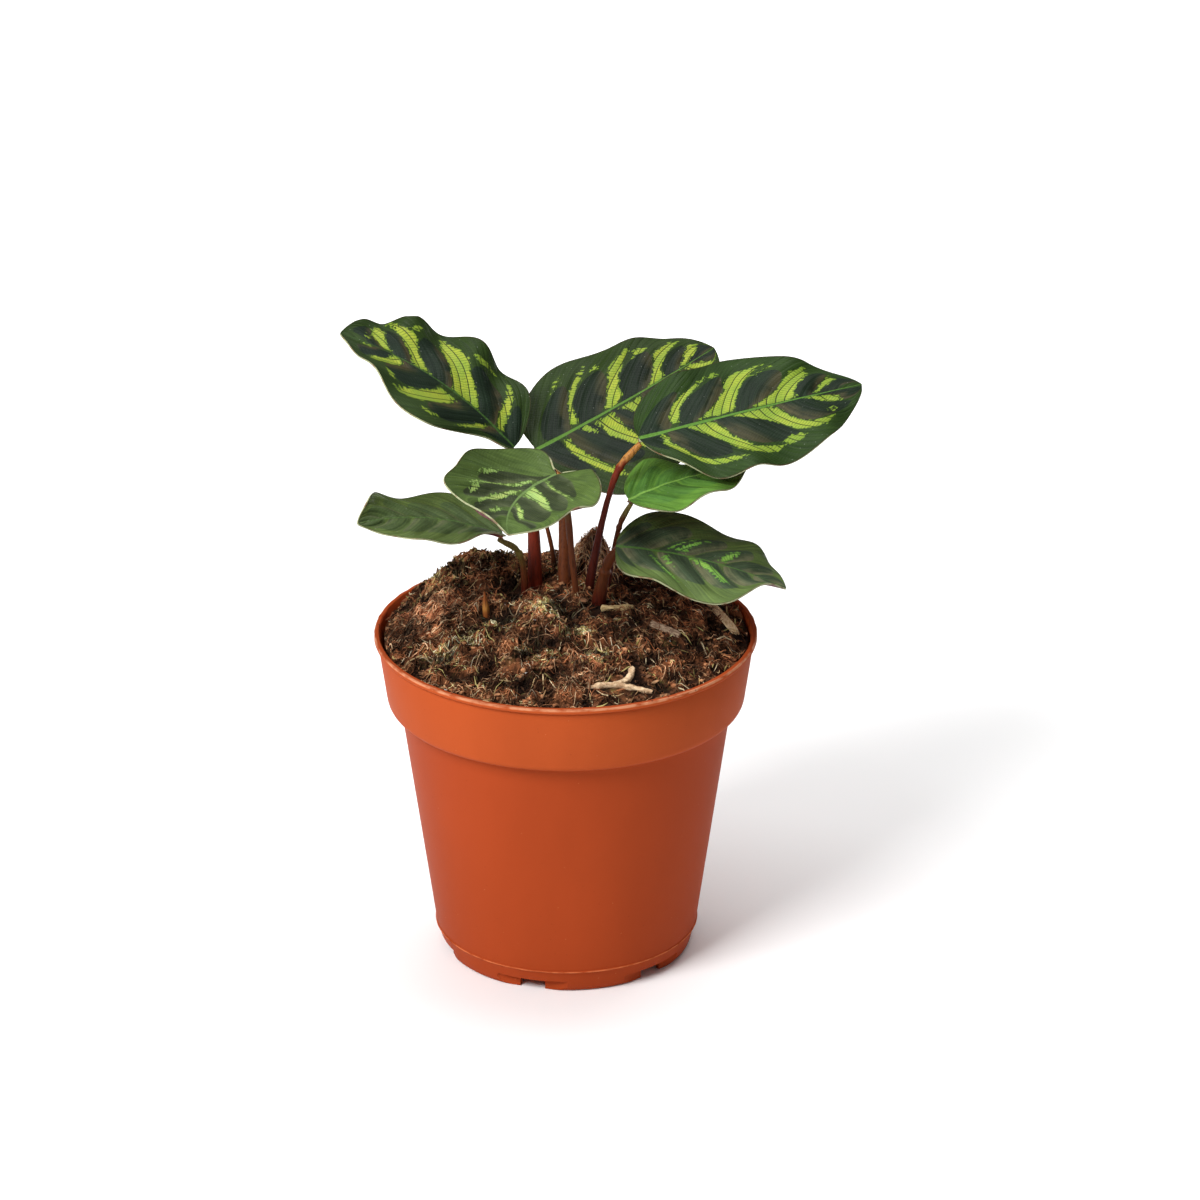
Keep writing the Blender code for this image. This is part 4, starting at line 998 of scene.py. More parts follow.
def wood_distance(x, y):
    """How far places are from the nearest chip or twig that lies on the soil."""
    lines = []
    for middle_x, middle_y, heading, length, _, _ in (WOOD_CHIP, BARK_STICK):
        turn = math.radians(heading)
        reach = Vector((math.cos(turn), math.sin(turn))) * length / 2
        middle = Vector((middle_x, middle_y))
        lines.append((middle - reach, middle + reach))
    for points in (SHORT_TWIG, *FORKED_TWIG):
        lines += list(zip(points, points[1:]))
    nearest = np.full(np.shape(x), np.inf)
    for (x0, y0), (x1, y1) in lines:
        run_x, run_y = x1 - x0, y1 - y0
        share = ((x - x0) * run_x + (y - y0) * run_y) / (run_x**2 + run_y**2)
        share = np.clip(share, 0.0, 1.0)
        distance = np.hypot(x - x0 - share * run_x, y - y0 - share * run_y)
        nearest = np.minimum(nearest, distance)
    return nearest


def soil_height(x, y):
    """Height of the mound at a place, with its heaps but without crumbs."""
    height = plain_soil_height(x, y)
    share = from_wall(x, y, HEAP_FADE)
    for heap_x, heap_y, lift, reach in HEAPS:
        spread = ((x - heap_x) ** 2 + (y - heap_y) ** 2) / reach**2
        height = height + lift * np.exp(-spread) * share
    return height


def crumble(x, y):
    """Clods and crumbs that roughen the mound at one place."""
    place = Vector((x, y, 3.0))
    warp = noise.noise_vector(place / 4.0) * 2.2
    clods = noise.noise(place / CLODS[0])
    lumps = 0.55 - noise.voronoi((place + warp * 1.3) / LUMPS[0])[0][0]
    small = 0.5 - noise.voronoi((place + warp * 0.6) / SMALL_LUMPS[0])[0][0]
    crumbs = noise.noise(Vector((x, y, 23.0)) / CRUMBS[0])
    rough = clods * CLODS[1] + lumps * LUMPS[1] + small * SMALL_LUMPS[1] + crumbs * CRUMBS[1]
    return rough - LOWERED


# Blades

def blade_frame(heading, pitch, roll):
    """Directions along a midrib, across to its left, and out of the blade's upper face."""
    heading, pitch, roll = (np.radians(np.asarray(v, float)) for v in (heading, pitch, roll))
    along = np.stack(
        [np.cos(pitch) * np.cos(heading), np.cos(pitch) * np.sin(heading), np.sin(pitch)], -1
    )
    level = np.stack([-np.sin(heading), np.cos(heading), 0 * heading], -1)
    raised = np.cross(along, level)
    across = level * np.cos(roll)[..., None] + raised * np.sin(roll)[..., None]
    return along, across, np.cross(along, across)


def leaf_frame(leaf, share):
    """Directions of a blade at shares of its midrib."""
    share = np.clip(share, 0.0, 1.0)
    return blade_frame(
        leaf.heading + leaf.turn * share,
        leaf.pitch - leaf.droop * share,
        leaf.roll + leaf.twist * share,
    )


def midrib_place(leaf, share):
    """Places on the midrib, which runs on straight past both of its ends."""
    stations = np.linspace(0.0, 1.0, MIDRIB_SAMPLES + 1)
    middles = (stations[:-1] + stations[1:]) / 2
    steps = leaf_frame(leaf, middles)[0] * leaf.length / MIDRIB_SAMPLES
    line = np.vstack([[leaf.base], np.asarray(leaf.base) + np.cumsum(steps, axis=0)])
    inside = np.clip(share, 0.0, 1.0)
    place = np.stack([np.interp(inside, stations, line[:, k]) for k in range(3)], -1)
    return place + leaf_frame(leaf, share)[0] * ((share - inside) * leaf.length)[..., None]


def between_ends(share, rise, fall):
    """1 along a way from 0 to 1, but sinking to 0 at both of its ends."""
    return np.clip(share / rise, 0.0, 1.0) * np.clip((1.0 - share) / fall, 0.0, 1.0)


def margin_reach(side, share):
    """Half width of a blade, round at its base and drawn out at its tip."""
    low, high = BASE_FULLNESS, TIP_FULLNESS
    peak = (low / (low + high)) ** low * (high / (low + high)) ** high
    reach = (side.reach[0], *side.reach, side.reach[-1])
    full = smooth_value(REACH_STATIONS, reach, share)
    return full * share**low * (1.0 - share) ** high / peak


def side_valleys(name, side):
    """Where the pleats of one half of a blade have their valleys: under its broad stripes."""
    marks = [m[1:] for m in MARKS.get(name, {}).get(side, ()) if m[0] == BROAD]
    if not marks:
        return PLAIN_VALLEYS
    middles = []
    for rows in marks:
        out, low, high = np.array(rows).T
        middles.append(float(np.interp(0.3, out, (low + high) / 2)))
    return sorted(middles)


def pleat(name, side, run, out, share):
    """Depth of the pleats between the side veins, from -2 to 0, none at midrib and margin."""
    valleys = side_valleys(name, side)
    step = (valleys[-1] - valleys[0]) / (len(valleys) - 1)
    ends = [valleys[0] - step, *valleys, valleys[-1] + step]
    phase = np.interp(run, ends, range(len(ends)))
    depth = -(1.0 + np.cos(TURN * phase)) * between_ends(out, *PLEAT_BAND_FADES)
    return depth * between_ends(share, *PLEAT_TIP_FADES)


def stripe_field(leaf, marks, run, out, reach):
    """Distance in mm inside the nearest bright stripe, and 0 to 1 from its ends to its middle."""
    field = np.full(run.shape, OUTSIDE)
    middle_share = np.zeros(run.shape)
    for mark in marks:
        at, low, high = np.array(mark[1:]).T
        middle = np.interp(out, at, (low + high) / 2)
        half = np.interp(out, at, (high - low) / 2)
        across = (half - np.abs(run - middle)) * leaf.length * LEAN
        ends = np.minimum(out - at[0], at[-1] - out) * reach * 2.2 + 0.25
        inside = np.minimum(across, ends)
        from_end = np.minimum((out - at[0]) / 0.10, (at[-1] - out) / 0.26)
        nearer = inside > field
        field[nearer] = inside[nearer]
        middle_share[nearer] = np.clip(from_end, 0.0, 1.0)[nearer]
    return field, middle_share


def oval_field(leaf, marks, run, out):
    """Distance in mm inside the nearest dark oval, and where in it a place lies, -1 to 1."""
    bounds = [np.array(m[1:]).T for m in marks if m[0] == BROAD]
    bounds.sort(key=lambda rows: rows[1].mean())
    if not bounds:
        bounds = [np.array([[0.0, 1.0], [v, v], [v, v]]) for v in PLAIN_VALLEYS]
    first, last = bounds[0], bounds[-1]
    before = np.array([first[0], first[1] - 0.16, first[1] - 0.15])
    after = np.array([last[0], last[2] + 0.10, last[2] + 0.11])
    bounds = [before, *bounds, after]
    field = np.full(run.shape, OUTSIDE)
    flank = np.zeros(run.shape)
    for one, two in zip(bounds[:-1], bounds[1:]):
        low = np.interp(out, one[0], one[2])
        high = np.interp(out, two[0], two[1])
        middle = (low + high) / 2
        half = np.maximum((high - low) / 2, 0.004)
        rounding = np.sqrt(np.clip(1.0 - np.abs((out - 0.30) / 0.38) ** 3.5, 0.0, 1.0))
        inside = (half * rounding - np.abs(run - middle)) * leaf.length * LEAN
        nearer = inside > field
        field[nearer] = inside[nearer]
        flank[nearer] = ((run - middle) / half)[nearer]
    return field, np.clip(flank, -1.2, 1.2)


def length_setting(name, description, default, low, high):
    return FloatProperty(
        name=name, description=description, default=default, min=low, max=high, unit="LENGTH",
    )


def share_setting(name, description, default):
    return FloatProperty(
        name=name, description=description, default=default, min=0.0, max=1.0, subtype="FACTOR",
    )


def power_setting(name, description, default):
    return FloatProperty(name=name, description=description, default=default, min=0.0, unit="POWER")


def colour_setting(name, description, default):
    return FloatVectorProperty(
        name=name, description=description, default=default, subtype="COLOR", min=0.0, max=1.0,
    )


def count_setting(name, description, default, low=1):
    return IntProperty(name=name, description=description, default=default, min=low)


class LeafSettings(bpy.types.PropertyGroup):
    """Sizes and colours that all blades share."""

    thickness: length_setting("Thickness", "Thickness of a blade", 0.00045, 0.0003, 0.001)
    rib_thickness: length_setting(
        "Midrib", "Thickness of the midrib at the base", 0.0013, 0.0005, 0.003
    )
    pleat_height: length_setting(
        "Pleats", "Height of the pleats between side veins", 0.00050, 0.0, 0.002
    )
    cross_spacing: length_setting(
        "Cross veins", "Distance between cross veins", 0.00072, 0.0003, 0.002
    )
    vein_spacing: length_setting("Side veins", "Distance between side veins", 0.0029, 0.001, 0.006)
    rows: count_setting("Rows", "Rows of faces along a blade", 144, 20)
    columns: count_setting("Columns", "Rows of faces across a blade", 90, 12)
    underside: colour_setting("Underside", "Colour of the underside", (0.105, 0.022, 0.026))
    edge: colour_setting("Edge", "Colour of the thin edge", (0.34, 0.36, 0.20))


class StalkSettings(bpy.types.PropertyGroup):
    """How finely the stalks are drawn, and how their joints swell."""

    segments: count_setting("Segments", "Lengths of a stalk", 56, 8)
    swelling: share_setting("Swelling", "How much the joint under a blade swells", 0.16)
    joint_length: length_setting("Joint", "Length of the swollen joint", 0.0075, 0.001, 0.02)


class PotSettings(bpy.types.PropertyGroup):
    """Colour and finish of the pot."""

    colour: colour_setting("Plastic", "Colour of the plastic", (0.380, 0.056, 0.0135))
    roughness: share_setting("Roughness", "Roughness of the plastic", 0.50)
    flash: length_setting("Uneven lip", "How far the moulded lip strays", 0.00030, 0.0, 0.001)
    sides: count_setting("Sides", "Faces round the pot", 180, 48)


class SoilSettings(bpy.types.PropertyGroup):
    """Colour of the soil, and how much litter of each kind lies on it."""

    peat: colour_setting("Peat", "Colour of the peat", (0.165, 0.064, 0.027))
    cells: count_setting("Cells", "Faces across the mound", 200, 40)
    seed: count_setting("Seed", "Number that draws the litter", 11, 0)
    peat_fibres: count_setting("Peat fibres", "Short dark fibres", 4600)
    coir_fibres: count_setting("Coir fibres", "Long red fibres", 2300)
    peat_sprigs: count_setting("Sprigs", "Thick brown sprigs on the heaps", 1300)
    coir_tangles: count_setting("Tangles", "Tangled long fibres", 900)
    moss_leaves: count_setting("Moss", "Leaves of moss", 3000)
    pale_roots: count_setting("Roots", "Thin pale roots", 240)
    tan_tuft: count_setting("Tuft", "Fibres of the tan tuft behind the stalks", 420)
    straw_bits: count_setting("Straw", "Straight pale bits", 520)
    peat_crumbs: count_setting("Crumbs", "Crumbs of peat", 4500)
    mineral_specks: count_setting("Specks", "Pale mineral specks", 70)
    bark_bits: count_setting("Bark", "Flat bits of bark", 130)


class StageSettings(bpy.types.PropertyGroup):
    """Lights and floor."""

    key: power_setting("Key light", "Power of the light from the left", 20.5)
    fill: power_setting("Fill light", "Power of the light from the right", 0.2)
    overhead: power_setting("Overhead light", "Power of the light above", 8.0)
    far_floor: power_setting("Far floor", "Power of each light on the floor behind", 16.0)
    floor: colour_setting("Floor", "Colour of the floor", (0.97, 0.97, 0.97))


class PlantSettings(bpy.types.PropertyGroup):
    """All settings of the potted plant."""

    leaves: PointerProperty(type=LeafSettings)
    stalks: PointerProperty(type=StalkSettings)
    pot: PointerProperty(type=PotSettings)
    soil: PointerProperty(type=SoilSettings)
    stage: PointerProperty(type=StageSettings)


class PLANT_OT_pot(bpy.types.Operator):
    """Builds the nursery pot with its uneven lip, bead, notched foot and drain holes"""

    bl_idname = "plant.pot"
    bl_label = "Pot"

    def execute(self, context):
        settings = context.scene.peacock_plant.pot
        pot = self.turn_rings(self.rings(), settings.sides)
        self.stray_lip(pot, settings.flash / MM)
        self.cut_foot(pot)
        pot.data.materials.append(pot_paint(settings))
        finish_piece(pot, ["pot"], SMOOTH["pot"])
        return {"FINISHED"}

    def rings(self):
        """Rings of the wall, as (radius, height), from the floor's middle up, over and down."""
        top, lip, body, foot = COLLAR_TOP_RADIUS, LIP_RADIUS, BODY_FOOT_RADIUS, FOOT_RADIUS
        waist, shoulder = BODY_TOP[0], COLLAR_FOOT[0]
        under_lip = POT_HEIGHT - LIP_HEIGHT
        inner_foot = foot - FOOT_WIDTH
        inside = [
            (1.0, FLOOR_TOP), (PAD_RADIUS, FLOOR_TOP), (body - WALL - 1.5, FLOOR_TOP),
            (body - WALL, FLOOR_TOP + 1.5), (waist - WALL, SHELF - 0.4),
            (waist - WALL + 0.4, SHELF), (shoulder - WALL - 0.4, SHELF),
            (shoulder - WALL, SHELF + 0.5), (top - WALL, 91.5),
        ]
        rim = [
            (top - 0.50, POT_HEIGHT - 0.35), (top - 0.20, POT_HEIGHT), (lip - 0.45, POT_HEIGHT),
            (lip - 0.12, POT_HEIGHT - 0.15), (lip, POT_HEIGHT - 0.5), (lip, under_lip + 0.3),
            (lip - 0.25, under_lip), (top - 0.25, under_lip - 0.05), (top - 0.28, 93.9),
            (top - 0.12, 93.4),
        ]
        outside = [
            *LEDGE, (waist - 0.35, BODY_TOP[1] - 2.5), (body + 0.42, BEAD_HEIGHT + 0.75),
            (body + 0.36, BEAD_HEIGHT + 0.3), (body + 0.60, BEAD_HEIGHT + 0.15),
            (body + 0.62, BEAD_HEIGHT - 0.1), (body + 0.20, BEAD_HEIGHT - 0.35),
            (body - 0.1, BEAD_HEIGHT - 1.2),
        ]
        underneath = [
            (foot + 0.5, 3.4), (foot + 0.1, 1.6), (foot - 0.3, 0.6), (foot - 0.7, 0.15),
            (foot - 1.1, 0.0), (inner_foot + 0.3, 0.0), (inner_foot, 0.3),
            (inner_foot, FLOOR_UNDERSIDE), (PAD_RADIUS, FLOOR_UNDERSIDE), (PAD_RADIUS, 0.4),
            (PAD_RADIUS - 0.4, 0.0), (1.0, 0.0),
        ]
        return inside + rim + outside + underneath

    def turn_rings(self, rings, sides):
        """Draws a ring, then extrudes and resizes it from one ring to the next."""
        clear_selection()
        radius, height = rings[0]
        bpy.ops.mesh.primitive_circle_add(
            vertices=sides, radius=radius * MM, fill_type="NGON", location=(0, 0, height * MM)
        )
        item = bpy.context.object
        item.name = "nursery_pot"
        bpy.ops.object.transform_apply(location=True)
        edit_all()
        bpy.ops.mesh.region_to_loop()
        for (r0, z0), (r1, z1) in zip(rings, rings[1:]):
            shift = {"value": (0.0, 0.0, (z1 - z0) * MM)}
            bpy.ops.mesh.extrude_edges_move(TRANSFORM_OT_translate=shift)
            scale = r1 / r0
            bpy.ops.transform.resize(value=(scale, scale, 1.0), center_override=(0.0, 0.0, z1 * MM))
        bpy.ops.mesh.edge_face_add()
        face_outwards()
        return item

    def stray_lip(self, item, flash):
        """Lets the lip stray in and out a little, as thin moulded edges do."""
        places = coordinates(item.data) / MM
        for index, (x, y, z) in enumerate(places):
            radius = math.hypot(x, y)
            if z < STRAY_FROM:
                continue
            angle = math.atan2(y, x)
            turn = Vector((math.cos(angle), math.sin(angle), 0.0))
            slow = noise.noise(turn * 1.6)
            quick = noise.noise(turn * 14.0 + Vector((5.0, 0.0, z)))
            amount = (z - STRAY_FROM) / STRAY_OVER
            grow = 1.0 + flash * amount * (0.8 * slow + 0.45 * quick - 0.5) / radius
            rise = flash * amount * (0.5 * quick - 0.35)
            places[index] = (x * grow, y * grow, min(z + rise, POT_HEIGHT))
        move_vertices(item.data, places * MM)

    def cut_foot(self, item):
        """Cuts the stepped notches in the foot ring and the drain holes in the floor."""
        cutters = []
        for index in range(NOTCH_COUNT):
            heading = math.radians(NOTCH_FIRST_ANGLE + index * 360 / NOTCH_COUNT)
            out = Vector((math.cos(heading), math.sin(heading), 0.0))
            for cut in NOTCH_CUTS:
                cutters.append(self.add_notch(out, heading, *cut))
            cutters.append(self.add_drain(out))
        for cutter in cutters:
            cut = item.modifiers.new("cut", "BOOLEAN")
            cut.operation = "DIFFERENCE"
            cut.object = cutter
            cut.solver = "EXACT"
        apply_modifiers(item)
        for cutter in cutters:
            bpy.data.objects.remove(cutter, do_unlink=True)

    def add_notch(self, out, heading, width, height, inner, outer):
        clear_selection()
        middle = out * (inner + outer) / 2 * MM
        bpy.ops.mesh.primitive_cube_add(size=1.0, location=middle, rotation=(0, 0, heading))
        cutter = bpy.context.object
        cutter.scale = ((outer - inner) * MM, width * MM, 2 * height * MM)
        bpy.ops.object.transform_apply(location=True, rotation=True, scale=True)
        edit_all()
        bpy.ops.mesh.bevel(offset=NOTCH_ROUNDING * MM, segments=3)
        bpy.ops.object.mode_set(mode="OBJECT")
        return cutter

    def add_drain(self, out):
        clear_selection()
        place = out * DRAIN_CIRCLE * MM + Vector((0.0, 0.0, (FLOOR_UNDERSIDE + FLOOR_TOP) / 2 * MM))
        bpy.ops.mesh.primitive_cylinder_add(
            vertices=32, radius=DRAIN_RADIUS * MM, depth=6.0 * MM, location=place
        )
        return bpy.context.object


class PLANT_OT_soil(bpy.types.Operator):
    """Builds the crumbly mound of potting soil"""

    bl_idname = "plant.soil"
    bl_label = "Soil"

    def execute(self, context):
        settings = context.scene.peacock_plant.soil
        noise.seed_set(NOISE_SEED)
        clear_selection()
        bpy.ops.mesh.primitive_grid_add(
            x_subdivisions=settings.cells, y_subdivisions=settings.cells, size=2.0
        )
        soil = bpy.context.object
        soil.name = "potting_soil_mound"
        flat = coordinates(soil.data)
        u, v = flat[:, 0].copy(), flat[:, 1].copy()
        x = u * np.sqrt(1.0 - v**2 / 2) * soil_radius()
        y = v * np.sqrt(1.0 - u**2 / 2) * soil_radius()
        full = from_wall(x, y, CRUMB_FADE)
        rough = np.array([crumble(a, b) for a, b in zip(x, y)])
        z = soil_height(x, y) + rough * (CRUMBS_AT_WALL + (1.0 - CRUMBS_AT_WALL) * full)
        clear = np.clip((wood_distance(x, y) - SMOOTH_BY_WOOD) / WOOD_FADE, 0.0, 1.0)
        plain = plain_soil_height(x, y)
        z = plain + (z - plain) * clear
        squeeze = np.maximum(1.0, np.hypot(x, y) / soil_radius(z))
        move_vertices(soil.data, np.stack([x / squeeze, y / squeeze, z], -1) * MM)
        # The mound's roughness is kept for the painted shade in its hollows
        add_vector_attribute(soil.data, "cavity", np.stack([rough, rough, rough], -1))
        self.drop_sides(soil)
        soil.data.materials.append(soil_paint(settings))
        finish_piece(soil, ["soil"], SMOOTH["soil"])
        return {"FINISHED"}

    def drop_sides(self, soil):
        """Extrudes the edge down the pot's wall and closes the mound underneath."""
        edit_all()
        bpy.ops.mesh.region_to_loop()
        levels = (
            (soil_radius(SHELF + SOIL_GAP), SHELF + SOIL_GAP),
            (BODY_TOP[0] - WALL - SOIL_GAP, SHELF + SOIL_GAP),
            (BODY_FOOT_RADIUS - WALL - SOIL_GAP, FLOOR_TOP + 1.8),
        )
        for radius, height in levels:
            bpy.ops.mesh.extrude_edges_move()
            body = bmesh.from_edit_mesh(soil.data)
            for vertex in body.verts:
                if vertex.select:
                    out = Vector((vertex.co.x, vertex.co.y)).normalized() * radius * MM
                    vertex.co = (out.x, out.y, height * MM)
            bmesh.update_edit_mesh(soil.data)
        bpy.ops.mesh.extrude_edges_move()
        bpy.ops.transform.resize(value=(0.5, 0.5, 1.0), center_override=(0, 0, height * MM))
        bpy.ops.mesh.edge_face_add()
        face_outwards()


def soil_surface():
    """Finds the height of the finished mound at many places at once, in mm."""
    mound = bpy.data.objects["potting_soil_mound"]
    tree = BVHTree.FromObject(mound, bpy.context.evaluated_depsgraph_get())
    down = Vector((0.0, 0.0, -1.0))

    def heights(xs, ys):
        found = []
        for x, y in zip(xs, ys):
            hit = tree.ray_cast(Vector((x * MM, y * MM, 0.2)), down)[0]
            found.append(hit.z / MM if hit else SOIL_EDGE)
        return np.array(found)

    return heights


# Form of a bit of litter: each range is (least, most)
Strand = namedtuple("Strand", "length radius arch tip bend segments sides")
Lump = namedtuple("Lump", "radius flat")


def strand_mesh(name, draw, places, kind, heights):
    """Many curved strands that lie on the soil, as one mesh, each with its own shade."""
    count = len(places)
    length = draw.uniform(*kind.length, count)
    radius = draw.uniform(*kind.radius, count)
    arch = draw.uniform(*kind.arch, count)
    tip = draw.uniform(*kind.tip, count)
    heading = draw.uniform(0.0, TURN, count)
    bend = draw.uniform(-kind.bend, kind.bend, count)
    bend_back = draw.uniform(-kind.bend, kind.bend, count)
    steps = kind.segments
    line = np.zeros((count, steps + 1, 3))
    line[:, 0, :2] = places
    for step in range(steps):
        turn = heading + bend * step / steps + bend_back * (step / steps) ** 2
        stride = length / steps
        line[:, step + 1, 0] = line[:, step, 0] + np.cos(turn) * stride
        line[:, step + 1, 1] = line[:, step, 1] + np.sin(turn) * stride
    reach = np.hypot(line[..., 0], line[..., 1])
    limit = soil_radius() - STRAND_WALL_GAP
    line[..., :2] *= np.minimum(1.0, limit / np.maximum(reach, 1.0))[..., None]
    ground = heights(line[..., 0].ravel(), line[..., 1].ravel()).reshape(count, steps + 1)
    share = np.linspace(0.0, 1.0, steps + 1)
    lift = arch[:, None] * np.sin(math.pi * share) + tip[:, None] * share**2
    line[..., 2] = ground + lift + radius[:, None] * STRAND_RISE
    tangent = np.gradient(line, axis=1)
    tangent /= np.linalg.norm(tangent, axis=-1, keepdims=True) + 1e-9
    side = np.cross(tangent, (0.0, 0.0, 1.0))
    side /= np.linalg.norm(side, axis=-1, keepdims=True) + 1e-9
    above = np.cross(side, tangent)
    taper = np.interp(share, *STRAND_TAPER)
    angles = np.arange(kind.sides) * TURN / kind.sides
    rings = (
        side[:, :, None, :] * np.cos(angles)[None, None, :, None]
        + above[:, :, None, :] * np.sin(angles)[None, None, :, None]
    )
    points = line[:, :, None, :] + rings * (radius[:, None] * taper)[..., None, None]
    points = points.reshape(-1, 3) * MM
    a = np.arange(steps)[:, None] * kind.sides + np.arange(kind.sides)
    b = np.arange(steps)[:, None] * kind.sides + (np.arange(kind.sides) + 1) % kind.sides
    quads = np.stack([a, b, b + kind.sides, a + kind.sides], -1).reshape(-1, 4)
    start = np.arange(kind.sides)[::-1]
    end = np.arange(kind.sides) + steps * kind.sides
    ring_size = (steps + 1) * kind.sides
    faces = []
    for index in range(count):
        shift = index * ring_size
        faces.extend((quads + shift).tolist())
        faces.append((start + shift).tolist())
        faces.append((end + shift).tolist())
    mesh = bpy.data.meshes.new(name)
    mesh.from_pydata(points.tolist(), [], faces)
    add_shade(mesh, draw, places, heights, ring_size)
    return mesh


def lump_mesh(name, draw, places, kind, heights):
    """Many uneven crumbs that lie on the soil, as one mesh, each with its own shade."""
    body = bmesh.new()
    bmesh.ops.create_icosphere(body, subdivisions=1, radius=1.0)
    shape = np.array([v.co for v in body.verts])
    triangles = np.array([[v.index for v in f.verts] for f in body.faces])
    body.free()
    count = len(places)
    radius = draw.uniform(*kind.radius, count)
    stretch = draw.uniform(0.45, 1.9, (count, 1, 3))
    stretch[:, 0, 2] = draw.uniform(*kind.flat, count)
    uneven = draw.uniform(0.55, 1.3, (count, len(shape), 1))
    turn = draw.uniform(0.0, TURN, count)
    points = shape[None] * stretch * uneven * radius[:, None, None]
    x = points[..., 0] * np.cos(turn)[:, None] - points[..., 1] * np.sin(turn)[:, None]
    y = points[..., 0] * np.sin(turn)[:, None] + points[..., 1] * np.cos(turn)[:, None]
    ground = heights(places[:, 0], places[:, 1])
    z = points[..., 2] + (ground + radius * LUMP_RISE)[:, None]
    x = x + places[:, 0][:, None]
    y = y + places[:, 1][:, None]
    points = np.stack([x, y, z], -1).reshape(-1, 3) * MM
    faces = (triangles[None] + (np.arange(count) * len(shape))[:, None, None]).reshape(-1, 3)
    mesh = bpy.data.meshes.new(name)
    mesh.from_pydata(points.tolist(), [], faces.tolist())
    add_shade(mesh, draw, places, heights, len(shape))
    return mesh


def scatter_places(draw, count, centres):
    """Places on the mound: even, or gathered round centres of (x, y, spread)."""
    if not centres:
        radius = LITTER_LIMIT * np.sqrt(draw.uniform(0.0, 1.0, count))
        angle = draw.uniform(0.0, TURN, count)
        return np.stack([radius * np.cos(angle), radius * np.sin(angle)], -1)
    chosen = np.array(centres)[draw.integers(0, len(centres), count)]
    places = chosen[:, :2] + draw.normal(0.0, 1.0, (count, 2)) * chosen[:, 2:]
    reach = np.hypot(*places.T)
    return places * np.minimum(1.0, LITTER_LIMIT / np.maximum(reach, 1.0))[:, None]


def litter_places(draw, count, litter):
    """Places of one kind of litter: its share round its centres, the rest even, none on wood."""
    gathered = int(count * litter.share)
    parts = []
    if gathered:
        parts.append(scatter_places(draw, gathered, litter.centres))
    if count > gathered:
        parts.append(scatter_places(draw, count - gathered, ()))
    places = np.vstack(parts)
    return places[wood_distance(places[:, 0], places[:, 1]) > WOOD_MARGIN]


def add_shade(mesh, draw, places, heights, size):
    """Gives each bit of litter its own shade, and says how deep in a hollow it lies, for painted
    shade.
    """
    shade = draw.uniform(0.0, 1.0, len(places))
    depth = heights(places[:, 0], places[:, 1]) - soil_height(places[:, 0], places[:, 1])
    values = np.stack([shade, depth, np.zeros(len(places))], -1)
    add_vector_attribute(mesh, "shade", np.repeat(values, size, axis=0))


# Where moss, sprigs and long fibres gather, as (x, y, spread)
MOSS_CENTRES = (
    (-20.0, -8.0, 1.7), (-17.0, -11.0, 1.8), (-3.5, -8.0, 1.8), (-6.0, -5.0, 2.0),
    (-19.5, -7.5, 1.5), (-3.0, -6.5, 1.5), (-6.5, -7.0, 1.6), (4.5, -17.0, 1.6),
    (2.0, -18.0, 1.8), (-28.0, -16.0, 3.0), (-8.0, -26.0, 2.8), (-36.0, 18.0, 2.6),
    (8.0, -28.0, 2.4), (-34.0, -22.0, 2.4), (-14.0, 26.0, 2.6), (0.0, 27.0, 2.6),
)
SPRIG_CENTRES = (
    (-33.0, 24.0, 4.5), (-22.0, 27.0, 4.5), (-14.0, 22.0, 3.5), (8.5, 26.0, 3.0),
    (3.0, 23.0, 3.0), (-38.0, 16.0, 4.0), (-26.0, 31.0, 4.0), (7.0, 24.0, 3.0),
)
TANGLE_CENTRES = (
    (8.5, 25.5, 1.8), (6.5, 23.5, 1.8), (10.0, 23.5, 1.6), (-39.0, -1.0, 3.0),
    (-41.0, 5.0, 2.6), (-34.0, 3.0, 2.6), (4.0, -38.0, 2.2), (-43.0, -7.0, 2.6),
)
TUFT_CENTRES = ((8.5, 24.5, 1.6), (10.5, 22.0, 1.5), (6.5, 22.5, 1.4), (9.5, 18.5, 1.6))
COIR_CENTRES = (
    (-40.0, -2.0, 4.0), (-35.0, 6.0, 4.0), (-44.0, 6.0, 3.0), (4.0, -38.0, 3.0),
    (-38.0, 2.0, 6.0), (-30.0, 10.0, 6.0), (-40.0, -10.0, 5.0), (9.0, 27.0, 3.5),
    (20.0, -6.0, 8.0), (30.0, -14.0, 8.0), (6.0, -34.0, 6.0), (14.0, 12.0, 6.0),
    (-22.0, 26.0, 6.0), (-4.0, -14.0, 8.0), (-18.0, -30.0, 8.0), (36.0, 8.0, 7.0),
)

